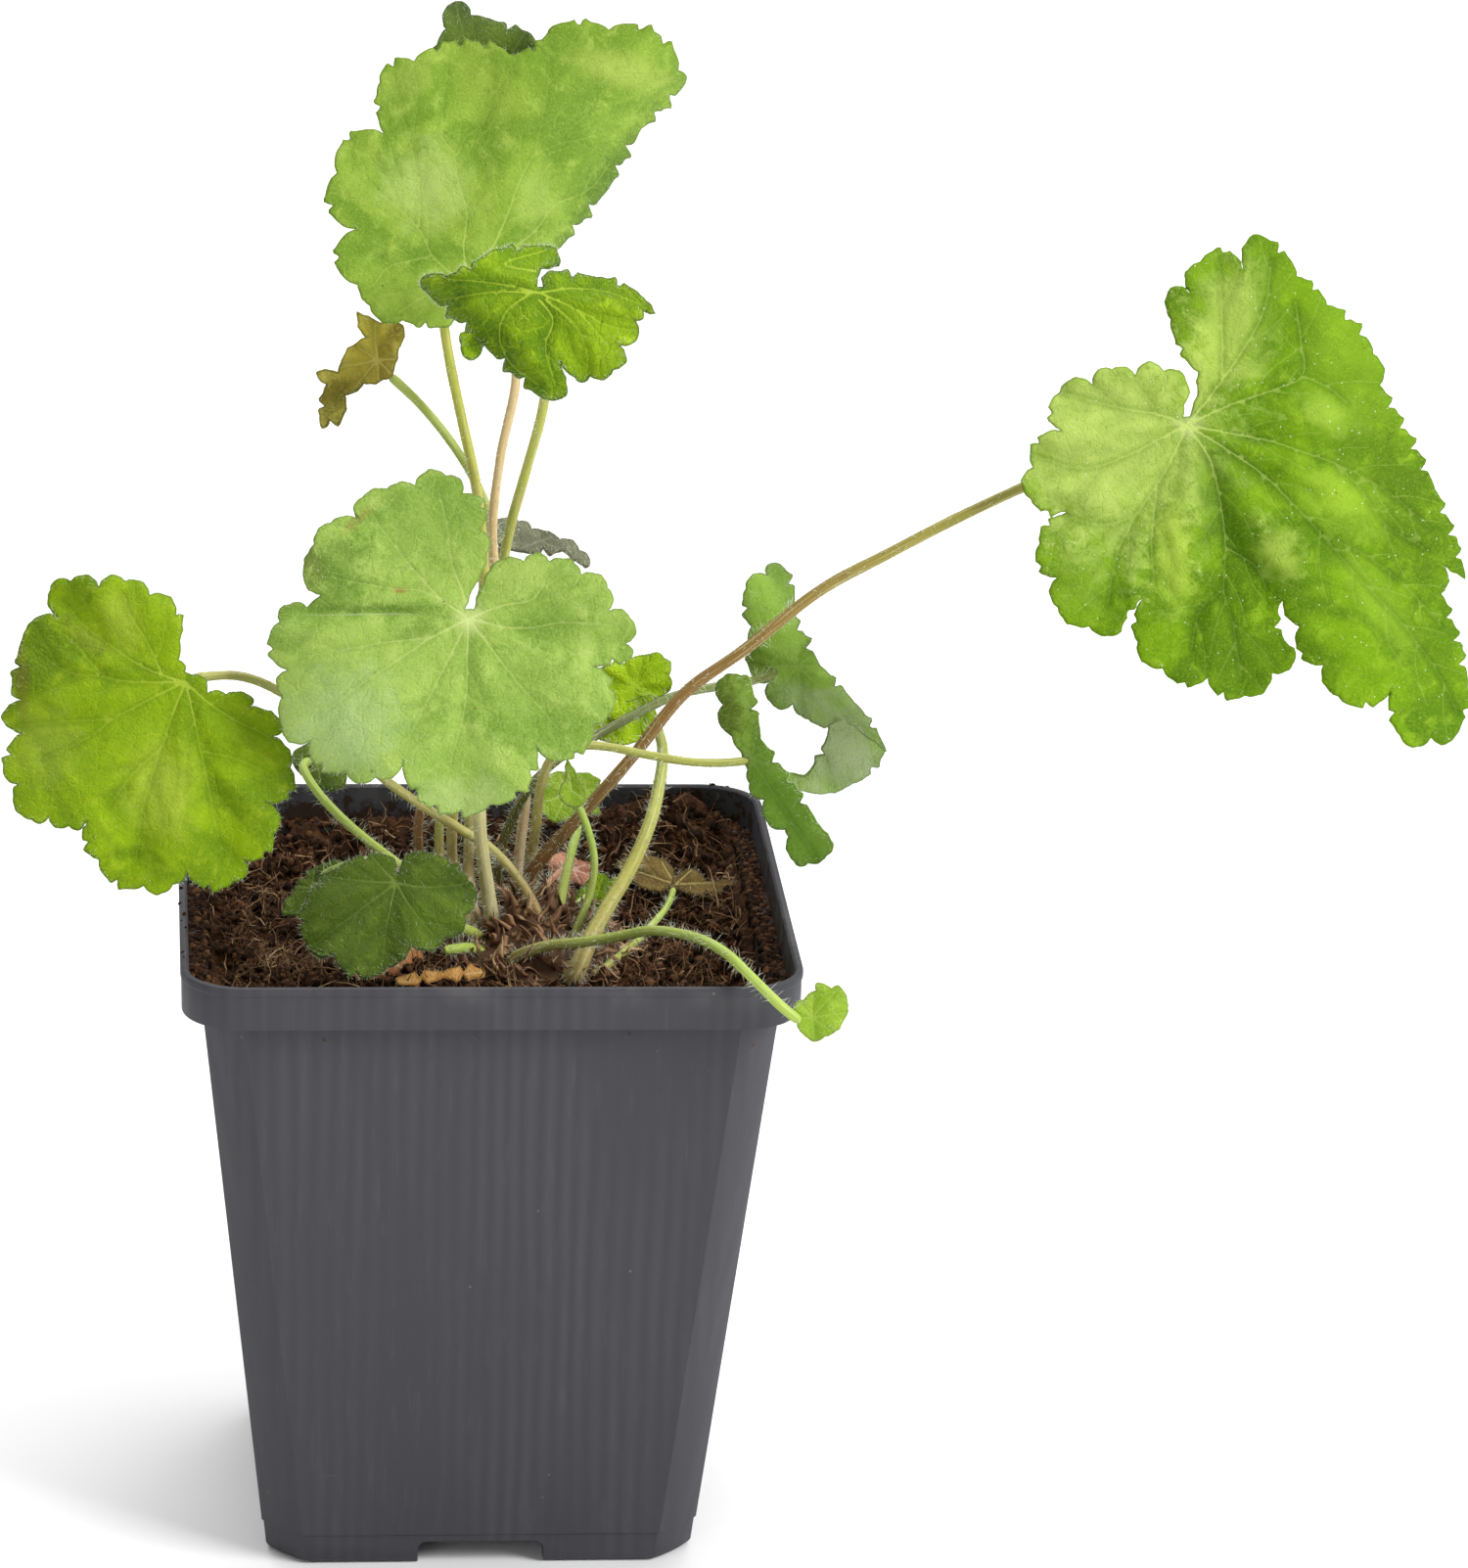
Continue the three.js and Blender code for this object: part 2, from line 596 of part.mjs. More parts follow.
        edge: [
          [0.7, 1.4, 0], [1.4, 4, 0], [3.3, 7.7, 0.15], [7.8, 8.3, 0.3], [11.5, 8.3, 0.25],
          [16.1, 6.4, 0.25], [19.9, 4.5, 0.2], [20, 1.2, 0.2], [23.1, 0.2, 0.3], [22.5, -3.5, 0.2],
          [23.4, -5.4, 0.05], [17.8, -6.8, 0.25], [20, -13.8, 0.12], [17.9, -15.2, 0.3],
          [10.5, -19.6, 0.02], [9.4, -17.9, 0.25], [3.2, -26.6, 0.3], [-9.4, -20.4, 0.25],
          [-13.4, -22.8, 0.3], [-17.6, -21.8, 0.3], [-22.8, -17.6, 0.3], [-26.8, -15.4, 0.1],
          [-26.7, -11.2, 0.3], [-26, -7.4, 0.3], [-27.1, -0.5, 0.3], [-25.7, 2, 0.2],
          [-23.2, 1.6, 0], [-21.2, 3.4, 0.15], [-23.7, 5.7, 0.1], [-22.2, 10.6, 0.2],
          [-19.8, 13.7, 0.2], [-15.6, 13.9, 0.3], [-15.3, 17.4, 0.12], [-11.8, 18.6, 0.15],
          [-7.8, 19.1, 0.3], [-3.3, 20.5, 0.3], [-0.9, 18, 0.35], [1.5, 12.8, 0.25],
          [2.5, 9.3, 0.1], [2.3, 7.6, 0], [0.4, 4, 0], [-0.6, 1.4, 0],
        ],
        relief: {
          lean: [0, -0.3],
          bends: [[-90, 16, 0.02], [200, 14, 0.02]],
          creases: [[176, 3.2, 7], [208, -1.5, 8], [-92, 1.2, 9], [-12, 1.2, 10], [125, 1, 12]],
        },
      },
    ],
    stalk: {
      radius: [1.6, 1.2],
      route: [
        [1.8, -5.5, 90.9], [0.5, -6.5, 98.2], [-0.7, -8, 107.3], [-1.4, -11, 119], [-2.2, -17, 133],
        [-3.3, -23.5, 144.1], [-3.8, -24.8, 146.3],
      ],
    },
  },
  {
    name: "low_left",
    at: [-44.2, -20, 134.4],
    colours: ["vivid", "olive"],
    sheets: [
      {
        edge: [
          [3.1, 0.4, 0], [3.1, -1.6, 0.15], [5.8, -1.7, 0.15], [9.8, -2.4, 0.1], [9.3, -3.5, 0.12],
          [14.1, -6.1, 0.2], [12.6, -7.8, 0.2], [15.1, -12.3, 0.35], [11.6, -17.4, 0.3],
          [12.7, -21.9, 0.25], [8.6, -25.7, 0.3], [6.9, -28.8, 0.25], [0.2, -27.4, 0.15],
          [-1.8, -29.2, 0.3], [-6, -29.4, 0.25], [-12.5, -25.6, 0.25], [-14.1, -20.1, 0.3],
          [-16.8, -20.8, 0.25], [-19.7, -19.6, 0.25], [-22.1, -19.9, 0.2], [-24.7, -16.5, 0.2],
          [-24, -14.8, 0.1], [-25.9, -13.8, 0.15], [-23.7, -7.5, 0.1], [-26.5, -5.1, 0.1],
          [-23.7, -2.6, 0], [-25, -2, 0.04], [-23.4, 6.3, 0.1], [-21.1, 9.4, 0.1],
          [-18.3, 9.3, 0.2], [-19.5, 13.1, 0.3], [-16.5, 14.5, 0.3], [-12.5, 13.7, 0.3],
          [-8.7, 14.5, 0.25], [-5.2, 12.5, 0.3], [-1.4, 9.6, 0.1], [-0.3, 9.6, 0],
          [-0.8, 5.9, 0.05], [-1, 3.2, 0.2], [-0.1, 1.5, 0],
        ],
        relief: {
          lean: [0.05, -0.35],
          bends: [[165, 6, 0.02], [60, 4, 0.05], [-90, 20, 0.03]],
          creases: [[150, 1.2, 10], [200, 1.2, 10], [-110, 1.2, 8], [-75, 1.2, 8], [-38, 1.2, 9]],
        },
      },
    ],
    stalk: {
      radius: [1.1, 1],
      route: [
        [9.4, -8, 90], [7.6, -6, 95], [4.4, -4, 99.7], [0.6, -3.5, 103.5], [-3.5, -4, 106.3],
        [-9.5, -6, 110.8], [-15.4, -8.5, 116], [-23.4, -12, 124.6], [-30.7, -15, 131.4],
        [-36.4, -17.5, 134.5], [-41.6, -18.8, 134.8], [-43.8, -19.5, 134.5],
      ],
    },
  },
  {
    name: "right_curled",
    at: [49.3, 30, 120.7],
    colours: ["mid", "olive"],
    sheets: [
      {
        edge: [
          [-7.1, 6, 0.15], [-8, 11.7, 0.3], [-4.8, 13.8, 0.3], [-3.5, 15.7, 0.2], [-1.1, 8.7, 0],
          [3.4, 0, 0.02], [8.6, -5.6, 0.05], [13.5, -13.1, 0], [9.7, -10.9, 0.05], [7.1, -8.8, 0.15],
          [1.6, -8.2, 0.15], [-0.8, -5.9, 0.25], [-4.1, -5.6, 0.2], [-4.4, -2.5, 0.2],
          [-6.8, -1.8, 0.1],
        ],
        relief: { bends: [[35, 0, 0.2], [200, 3, 0.12]] },
      },
      {
        edge: [
          [13.3, -12.6, 0.12], [8.4, -17.9, 0.08], [3.1, -19.5, 0.06], [-1.5, -17.9, 0.15],
          [-2.2, -16.2, -0.02], [1, -16.7, -0.08], [4.6, -9, 0], [7.1, -8, 0], [9.9, -10.2, 0],
        ],
        relief: { lift: -0.3, bends: [[-80, 10, 0.1]] },
      },
    ],
    stalk: {
      radius: [1.1, 1],
      route: [
        [2.4, 1, 94], [2.9, 1, 101], [4.2, 0, 106], [7.1, -2, 112.5], [11, 0, 115.8], [16, 3, 118],
        [22.3, 7, 120.2], [29.3, 13, 121.5], [36.5, 20, 120.7], [42.5, 26, 119.7], [46.5, 31, 119.5],
      ],
    },
  },
  {
    name: "right_edge",
    at: [38.5, -15, 121.1],
    colours: ["mid", "olive"],
    sheets: [
      {
        edge: [
          [-1.6, 12.2, 0.2], [-0.3, 11.8, 0.02], [1.3, 2.9, 0.02], [9.6, -9.3, 0.02],
          [12, -12.4, 0.15], [11, -14.2, 0.15], [8.3, -15.3, 0.3], [6.2, -15, 0.15],
          [5.4, -11.4, 0], [4.9, -10.4, 0.05], [3.1, -10.2, 0.15], [1.9, -6, 0.25],
          [-0.3, -3.6, 0.1], [-0.6, -1.6, 0], [-1.6, 1, 0.05], [-2.9, 3.3, 0.05],
          [-4.6, 4.9, 0.15], [-4.2, 7.9, 0.12], [-5.2, 10.8, 0.2],
        ],
        relief: { lean: [0.9, 0.1] },
      },
    ],
    stalk: {
      radius: [1.2, 0.9],
      route: [
        [7.3, 2.5, 96], [7.6, 1.5, 100.8], [8, -1.5, 107.3], [8.3, -5, 113.4], [9.8, -8, 118.9],
        [13.3, -9.5, 121.2], [17.5, -10.5, 121.4], [23.2, -12, 120.7], [29.6, -13.5, 120.1],
        [34.5, -14.5, 120.3], [38, -15, 120.8],
      ],
    },
  },
  {
    name: "crinkled",
    at: [23.2, 14, 122.4],
    colours: ["vivid", "olive"],
    sheets: [
      {
        edge: [
          [-5.6, 2.8, 0.03], [2.3, 5.1, 0.2], [4.4, 4.5, 0], [5.5, 3.9, 0.05], [5.2, 1.9, 0.1],
          [5.4, -0.3, 0.12], [1.3, -1.5, 0.3], [-1.1, -4.1, 0.25], [-3.9, -4.4, 0.1], [-6.2, -1.8, 0.1],
        ],
        relief: { lean: [0, -0.3], ripple: [0.8, 6, 0] },
      },
      {
        edge: [
          [-6.1, -3, 0], [-1.2, -2, 0], [2.8, -0.9, 0.1], [2.3, -6, 0.1], [-0.3, -8.3, 0.1],
          [-3.8, -8.2, 0.1], [-6.1, -6.9, 0.1],
        ],
        relief: { lift: 0.4, lean: [0, -0.15] },
      },
    ],
    stalk: {
      radius: [2, 1.1],
      route: [
        [13.2, -17, 88.7], [15.6, -14.5, 93.2], [18.6, -10.5, 97.1], [22, -6, 101.3], [24.9, -1, 106.3],
        [26.7, 6, 110.1], [27.5, 12, 113.4], [26.4, 16.5, 116.7], [24, 16.5, 121],
      ],
    },
  },
  {
    name: "back_edge",
    at: [8.6, 14, 145.3],
    colours: ["grey", "brown"],
    sheets: [
      {
        edge: [
          [5.8, -1.3, 0.1], [7.4, -2.7, 0.2], [6.7, -3.9, 0], [3.3, -1.4, 0.05], [-2.5, -1.6, 0.05],
          [-6.4, -0.4, 0.1], [-6.6, 3.1, 0.1], [-3.2, 3, 0.2], [-1.3, 1.8, 0.1], [2.9, 0.3, 0.2],
        ],
        relief: { lean: [0, -1.6], bends: [[0, 2, 0.05]] },
      },
    ],
    stalk: {
      radius: [1.2, 1],
      route: [
        [-3.4, 7.5, 90.1], [-7.8, 9, 94.2], [-9.1, 10, 99.3], [-7.3, 12, 111.1], [-1.9, 13, 124.6],
        [2.2, 14, 140], [3.5, 15.5, 146],
      ],
    },
  },
  {
    name: "left_back",
    at: [-24.1, 8, 111.5],
    colours: ["dark", "green"],
    sheets: [
      {
        edge: [
          [4.1, -0.9, 0.2], [2.5, -3.1, 0.2], [-0.6, -1.8, 0.1], [-3.8, 0.6, 0.1], [-3.8, 2.6, 0.1],
          [0.6, 3.8, 0.1], [3.5, 1.6, 0.1],
        ],
        relief: { lean: [0, -0.8] },
      },
    ],
    stalk: {
      radius: [1.1, 1],
      route: [
        [-2.3, -5.5, 92.8], [-7.8, -6, 97.6], [-13.7, -6, 102.3], [-19.4, -3, 106.1], [-24.4, 2, 109.9],
        [-26.5, 6, 112.5], [-25.6, 8.8, 112.6],
      ],
    },
  },
  {
    name: "low_dark",
    at: [-13.5, -20, 103.5],
    colours: ["dark", "green"],
    sheets: [
      {
        edge: [
          [0, 1.8, 0], [-0.1, 3.5, 0.15], [-8.5, 2.1, 0.12], [-13.1, -2.8, 0.15], [-13.1, -8.6, 0.3],
          [-9.1, -10.2, 0.3], [-1.2, -12.2, 0.15], [2.2, -9, 0.25], [7.3, -7.8, 0.3], [10, -4.6, 0.3],
          [10.5, 0.5, 0.12], [4.6, 4.4, 0.2], [0.8, 3.1, 0], [0.5, 1.5, 0],
        ],
        relief: {
          lean: [0, -0.8],
          bends: [[190, 7, 0.05]],
          creases: [[-100, 1.2, 16], [190, -0.8, 16]],
        },
      },
    ],
    stalk: {
      radius: [1.1, 1],
      route: [[-0.3, -8, 90.6], [-3.9, -11, 93.6], [-8.2, -15, 97.8], [-12.4, -18.6, 102.6]],
    },
  },
  {
    name: "shaded",
    at: [-25.2, 4, 94],
    colours: ["dark", "green"],
    sheets: [
      {
        edge: [
          [4.7, 4.1, 0.1], [3.9, 1.2, 0], [0, -2.5, 0.1], [-4.4, -4, 0.1], [-2.7, -0.6, 0.1],
          [1.4, 3.5, 0.1],
        ],
        relief: { lean: [0, -0.6] },
      },
    ],
    stalk: {
      radius: [0.9, 0.8],
      route: [
        [-5.5, -0.5, 89.5], [-9, 2, 95.5], [-13.3, 4, 98.6], [-19.3, 3.4, 98.2], [-22, 4.2, 97],
        [-23.6, 6.2, 95.3],
      ],
    },
  },
  {
    name: "over_rim",
    at: [45.1, -50, 93.9],
    colours: ["fresh", "green"],
    sheets: [
      {
        edge: [
          [-2.2, -1.1, 0], [-2.6, 0.8, 0.2], [-1.2, 2.6, 0.1], [0.6, 3.9, 0.1], [0.6, 5, 0.1],
          [2.7, 4.2, 0], [3.7, 4.7, 0.1], [5.1, 1.4, 0.15], [1.8, -2.7, 0.1], [0, -3.4, 0],
          [-1.7, -2, 0],
        ],
        relief: { cup: 1.5, bends: [[20, 1, 0.08]] },
      },
    ],
    stalk: {
      radius: [1.2, 1.1],
      route: [
        [4.1, -14, 89.4], [8.6, -16, 92.2], [13.6, -19, 93.9], [18.8, -22.5, 96.1], [23.4, -27, 98.7],
        [28.6, -33, 100.1], [33, -41, 100.6], [36.7, -47.5, 98.9], [40.4, -49.8, 95.8],
        [43.4, -50, 93.3],
      ],
    },
  },
  {
    name: "seedling",
    at: [30.7, 20.5, 88.6],
    colours: ["withered", "green"],
    sheets: [
      {
        edge: [
          [-0.3, 0.3, 0.2], [-4.5, -0.6, 0.2], [-6.7, 1.9, 0.1], [-9.3, 3.1, 0.1], [-6.7, 4, 0.1],
          [-2.4, 4, 0.2],
        ],
        relief: { lean: [0, -0.8] },
      },
      {
        edge: [
          [-0.8, -0.2, 0.1], [1, 2, 0.2], [3.4, 1.9, 0.1], [4.6, 0.5, 0.02], [10, 0.4, 0.1],
          [8.1, -1, 0.1], [1.3, -1.1, 0.1],
        ],
        relief: { lean: [0, -0.8] },
      },
    ],
    stalk: {
      radius: [0.9, 0.7],
      route: [[16, -14, 87], [21.5, -6, 87.9], [26, 4, 88.2], [29.2, 14, 87.9], [30.4, 19.8, 88.2]],
    },
  },
  {
    name: "folded_young",
    at: [12.6, -8, 113.7],
    colours: ["fresh", "green"],
    sheets: [
      {
        edge: [
          [1.8, -2, 0.2], [-0.8, -2, 0.15], [-1.8, 0, 0.1], [-1, 1.4, 0], [-0.7, 5.2, 0],
          [1.2, 1.4, 0.05], [2.1, -0.6, 0.1],
        ],
        relief: { cup: 1 },
      },
    ],
    stalk: {
      radius: [0.9, 0.8],
      route: [
        [13, -10, 90.7], [14.4, -9.5, 94.2], [15.8, -9, 98.7], [16.2, -8.5, 103.1], [15.2, -8, 107.6],
        [13.4, -7.4, 112],
      ],
    },
  },
  {
    name: "pale_back",
    at: [13.3, 16, 104.7],
    colours: ["fresh", "green"],
    sheets: [
      {
        edge: [
          [5.4, 2.2, 0.1], [1.8, 3.3, 0.1], [-3.4, 2.5, 0.1], [-4.4, -0.4, 0.1], [-1.9, -4.1, 0.15],
          [1.8, -2.6, 0.05], [5.4, -2.9, 0.02], [4.2, -0.4, 0],
        ],
        relief: { lean: [0, -0.3] },
      },
    ],
    stalk: {
      radius: [1.1, 1],
      route: [[11.1, -2, 89.9], [12.4, 3, 94.3], [14, 9, 98.4], [15, 14, 100.6], [13.8, 17, 103.4]],
    },
  },
  {
    name: "serrated",
    at: [18.3, 9, 91.9],
    colours: ["vivid", "green"],
    sheets: [
      {
        edge: [
          [3.4, 2.1, 0], [2.4, -0.9, 0.1], [-1.7, -2.5, 0.1], [-4.7, -2.3, 0], [-1.7, 1.5, 0.1],
          [0.8, 2.5, 0], [1.5, 1.6, 0],
        ],
        relief: { lean: [0.3, -0.3] },
      },
    ],
    stalk: { radius: [0.8, 0.7], route: [[12.1, 4, 88.2], [14.6, 6.5, 90.4], [17, 9.5, 91.2]] },
  },
  {
    name: "dead_pink",
    at: [15.4, 27, 88.8],
    colours: ["dry", "brown"],
    sheets: [
      {
        edge: [
          [4, -0.6, 0.1], [3.7, -2.2, 0.1], [-0.8, -1.8, 0.1], [-3.3, -1.5, 0.1], [-3.9, 0.9, 0.1],
          [-1.8, 2.6, 0.1], [0.7, 1.4, 0.1],
        ],
        relief: { lean: [0, -0.5], ripple: [0.6, 5, 0] },
      },
    ],
    stalk: {
      radius: [0.8, 0.7],
      route: [[9, 5, 89.6], [10.5, 13, 91], [13, 21, 90.5], [15, 26.8, 89.3]],
    },
  },
];

// Bare pieces of stalk and dead leaf that lie at the plant's foot.
const CUT_STUB = { radius: [1.2, 1], route: [[1.1, -10, 88.3], [-1.6, -12, 90.4], [-6.2, -17, 92]] };
const LITTER = [
  {
    name: "dead_leaf_front",
    at: [-14.5, -13, 89.4],
    colours: ["dry"],
    sheets: [
      {
        edge: [
          [5, 1, 0.15], [0, 1.6, 0.1], [-5, 1, 0.15], [-6, -1.5, 0.2], [0, -2.2, 0.15],
          [5, -1.6, 0.15],
        ],
        relief: { lean: [0, -1.9], ripple: [0.5, 4, 1] },
      },
    ],
  },
  {
    name: "dead_leaf_middle",
    at: [-7.5, -21.5, 89.2],
    colours: ["dry"],
    sheets: [
      {
        edge: [
          [7, 1.2, 0.1], [1, 1, 0.05], [-6, 0, 0.2], [-5, -0.9, 0.05], [1, 0.1, 0.05],
          [7, 0.3, 0.2],
        ],
        relief: { lean: [0, -1.5] },
      },
    ],
  },
];

function plant() {
  const group = new THREE.Group();
  const stems = [];
  const nodes = [];
  for (const leaf of LEAVES) {
    const gapBlade = blade(leaf, 2 * CLEARANCE);
    const tube = stalk(leaf.stalk);
    stems.push(leaf.stalk);
    nodes.push(node(`blade_${leaf.name}`, blade(leaf), leaf.colours[0]));
    nodes.push(node(`stalk_${leaf.name}`, mainBody(tube.subtract(gapBlade)), leaf.colours[1]));
  }
  stems.push(CUT_STUB);
  nodes.push(node("cut_stub", stalk(CUT_STUB), "green"));
  const holes = stems.map((s) => stalk(s, CLEARANCE));
  const bore = (block) => mainBody(holes.reduce((cut, hole) => cut.subtract(hole), block));
  const base = crown();
  const room = new THREE.Vector3().copy(CROWN_RADII).addScalar(CLEARANCE).divide(CROWN_RADII);
  const seat = base
    .translate(CROWN_HEART.clone().negate().toArray())
    .scale(room.toArray())
    .translate(CROWN_HEART.toArray());
  let soil = bore(compost().subtract(seat));
  for (const leaf of LITTER) {
    nodes.push(node(leaf.name, blade(leaf), leaf.colours[0]));
    soil = mainBody(soil.subtract(blade(leaf, 2 * CLEARANCE)));
  }
  nodes.push(node("crown", bore(base), "crown"));
  nodes.push(node("compost", soil, "compost"));
  group.add(...nodes);
  return group;
}

const assembly = new THREE.Group();
assembly.add(node("pot", pot(), "pot"), plant());

export default assembly;
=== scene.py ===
"""The looks of a potted musk mallow: a young clump of long-stalked leaves in a square nursery pot."""

import json
import math
import random

import bmesh
import bpy
import numpy as np
from bpy.props import FloatProperty, FloatVectorProperty, IntProperty, PointerProperty
from bpy.types import Operator, Panel, PropertyGroup
from mathutils import Matrix, Vector, noise
from mathutils.geometry import delaunay_2d_cdt


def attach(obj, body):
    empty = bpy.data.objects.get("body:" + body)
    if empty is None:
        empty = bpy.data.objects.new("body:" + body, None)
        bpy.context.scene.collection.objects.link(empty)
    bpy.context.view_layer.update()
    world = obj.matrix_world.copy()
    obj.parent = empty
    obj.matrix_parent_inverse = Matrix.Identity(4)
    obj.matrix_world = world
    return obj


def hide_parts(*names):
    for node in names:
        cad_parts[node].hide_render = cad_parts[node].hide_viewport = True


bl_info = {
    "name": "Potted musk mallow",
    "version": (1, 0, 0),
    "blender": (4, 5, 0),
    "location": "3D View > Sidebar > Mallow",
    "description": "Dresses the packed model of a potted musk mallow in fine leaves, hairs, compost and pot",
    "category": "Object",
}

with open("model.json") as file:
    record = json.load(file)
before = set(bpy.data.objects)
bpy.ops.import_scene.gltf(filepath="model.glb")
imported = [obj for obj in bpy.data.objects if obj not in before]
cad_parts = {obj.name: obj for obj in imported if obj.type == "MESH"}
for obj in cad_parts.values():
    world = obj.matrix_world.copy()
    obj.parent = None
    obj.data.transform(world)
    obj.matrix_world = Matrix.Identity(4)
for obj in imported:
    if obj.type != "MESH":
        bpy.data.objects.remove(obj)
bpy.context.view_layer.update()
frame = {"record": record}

SLOTS = {part["node"]: part["material_slot"] for part in frame["record"]["subparts"]}

MM = 0.001
SEED = 11
SLICE = 1500  # points that are measured at a time

# Pot, in millimetres
RIM_HALF = 45
POT_HEIGHT = 96.5
BAND_BOTTOM = 90
BODY_TOP_HALF = 41.8
BASE_HALF = 32
FLOOR_TOP = 5.2
WALL = 1
RIM_CORNER = 9.2
MOUTH_CORNER = 8
BAND_STEP = 0.2
LIP_HEIGHT = 1.1
EDGE_ROUND = 0.3
FOOT_HEIGHT = 4.7
FOOT_STEP = 0.25
FOOT_ROUND = 0.9
BODY_CORNER = 5.9
BODY_ROUNDNESS = 0.25
RECESS_WIDTH = 18.8
RECESS_HEIGHT = 3.7
RECESS_DEPTH = 12
RECESS_CORNER = 1.5
RECESS_STEPS = 6
DRAIN_RADIUS = 3.5
DRAIN_SIDES = 32
CLEARANCE = 0.3
OUTER_RINGS = 15
FLOW_LINE_PITCH = 2.6

# Compost and crown, in millimetres
COMPOST_LEVEL = 84.5
COMPOST_CELLS = 170
BANK_WIDTH = 5
BARE_WALL_GAP = 1.5
STRIP_STEPS = 240
LEDGE_HALVES = (BODY_TOP_HALF - WALL, RIM_HALF - WALL - 0.4)
RIM_HALVES = (RIM_HALF - 0.9, RIM_HALF - 0.2)
CROWN_HEART = np.array((7, -5, 84))
CROWN_RADII = np.array((13, 15, 9.5))
CROWN_SLOPE = 0.12

CROWN_ICO_STEPS = 6

# Stalks, in millimetres
CURVE_STEPS = 24
STALK_STEP = 0.7
ROOT_SINK = 3
ROOT_SLANT = np.array((0.4, 0.4, 1))
STALK_SHARE = 0.66  # of the thickness of the solid stalks
TIP_NARROWING = (0, 0.4, 1.2), (0.45, 0.85, 1)

# Hairs and scales: how many for each square metre, and their size as a share of the settings
STALK_HAIRS, STALK_HAIR_LENGTH = 3.2e6, 1.35
BLADE_HAIRS, BLADE_HAIR_SIZE = 1.1e7, 0.7
CROWN_SCALES = 4.2e5

# Edges of the blades, in millimetres
BULGE_POWER = 0.62
TOOTH_TIP = 0.56  # where between its two notches the tip of a large tooth stands
TIP_HEIGHT, TIP_WIDTH = 0.3, 0.5
SMALL_TOOTH = 3.7
NOTCH_DEPTH, NOTCH_WIDTH = 0.85, 0.35
POINT_HEIGHT, POINT_WIDTH = 0.45, 0.5

# Faces of the blades, in millimetres
VEIN_STEP = 0.4
VEIN_MARGIN = 0.3
VEIN_WIDTHS = (0, 6, 25), (0.42, 0.3, 0.2)
VEIN_STRENGTHS = (0, 7, 28), (1.0, 0.7, 0.45)
SPOKES = (0, 38, -38, 80, -80, 128, -128)
SPOKE_POINTS = 6
TWIG_GAP = 0.7
TWIG_MARGIN = 0.4
TWIG_WIDTHS = 0.24, 0.14
TWIG_STRENGTH = 0.5
ROW_SHARE = 0.866  # of a cell, between the rows of even triangles
FIELD_EDGE_GAP, FIELD_VEIN_GAP = 0.55, 0.5  # as shares of a cell
QUILT_REACH = 1.3
PLEAT_REACH = 3
CREASE_WIDTH = 0.7
CURL_WIDTH = 0.9
THIN_EDGE, EDGE_SHARE = 0.6, 0.55
FRINGE_WIDTH = 0.3
VEIN_SWELL = 0.14
MARK_DRIFT = 5
WIDE_MARK = 2.7

# Every leaf is laid out as it is seen from one standing point in front of the plant.
STANDPOINT = np.array((-52, -992, 455.3))
SIGHT_UP = np.array((0.0009, 0.3262, 0.9453))

# Camera and floor, in millimetres
CAMERA_PLACE = Vector((-51.952, -991.921, 455.348))
CAMERA_AXES = Matrix((
    (0.99639929, -0.00065820, -0.08478218),
    (-0.07990183, 0.32716508, -0.94158309),
    (0.02835752, 0.94496697, 0.32593446),
))
FLOOR_HALF = 3000
FLOOR_DROP = 0.1

# Lights, in metres: where each is, where it points and how wide it is
LIGHTS = {
    "key": ((1.15, -0.75, 1.0), (0.02, 0, 0.12), 0.7),
    "fill": ((-0.7, -1.5, 0.5), (0.02, 0, 0.12), 1.0),
    "back": ((0.0, 1.3, 2.4), (0, 0.9, 0), 2.6),
}


class Leaf:
    """A leaf. at is where its stalk meets its blade, radius is the stalk's at its root and tip, and the
    route is the stalk's. A leaf without a route has no stalk."""

    def __init__(self, name, at, radius, route, sheets):
        self.name, self.at, self.radius = name, np.array(at, float), radius
        self.route, self.sheets = route, sheets


def sheet(notches, **relief):
    """One sheet of a blade. Its outline is given as notches, [right, up, bulge] from where the stalk
    meets the blade, with the bulge of the edge up to the next notch. relief_depth takes its relief."""
    return notches, relief


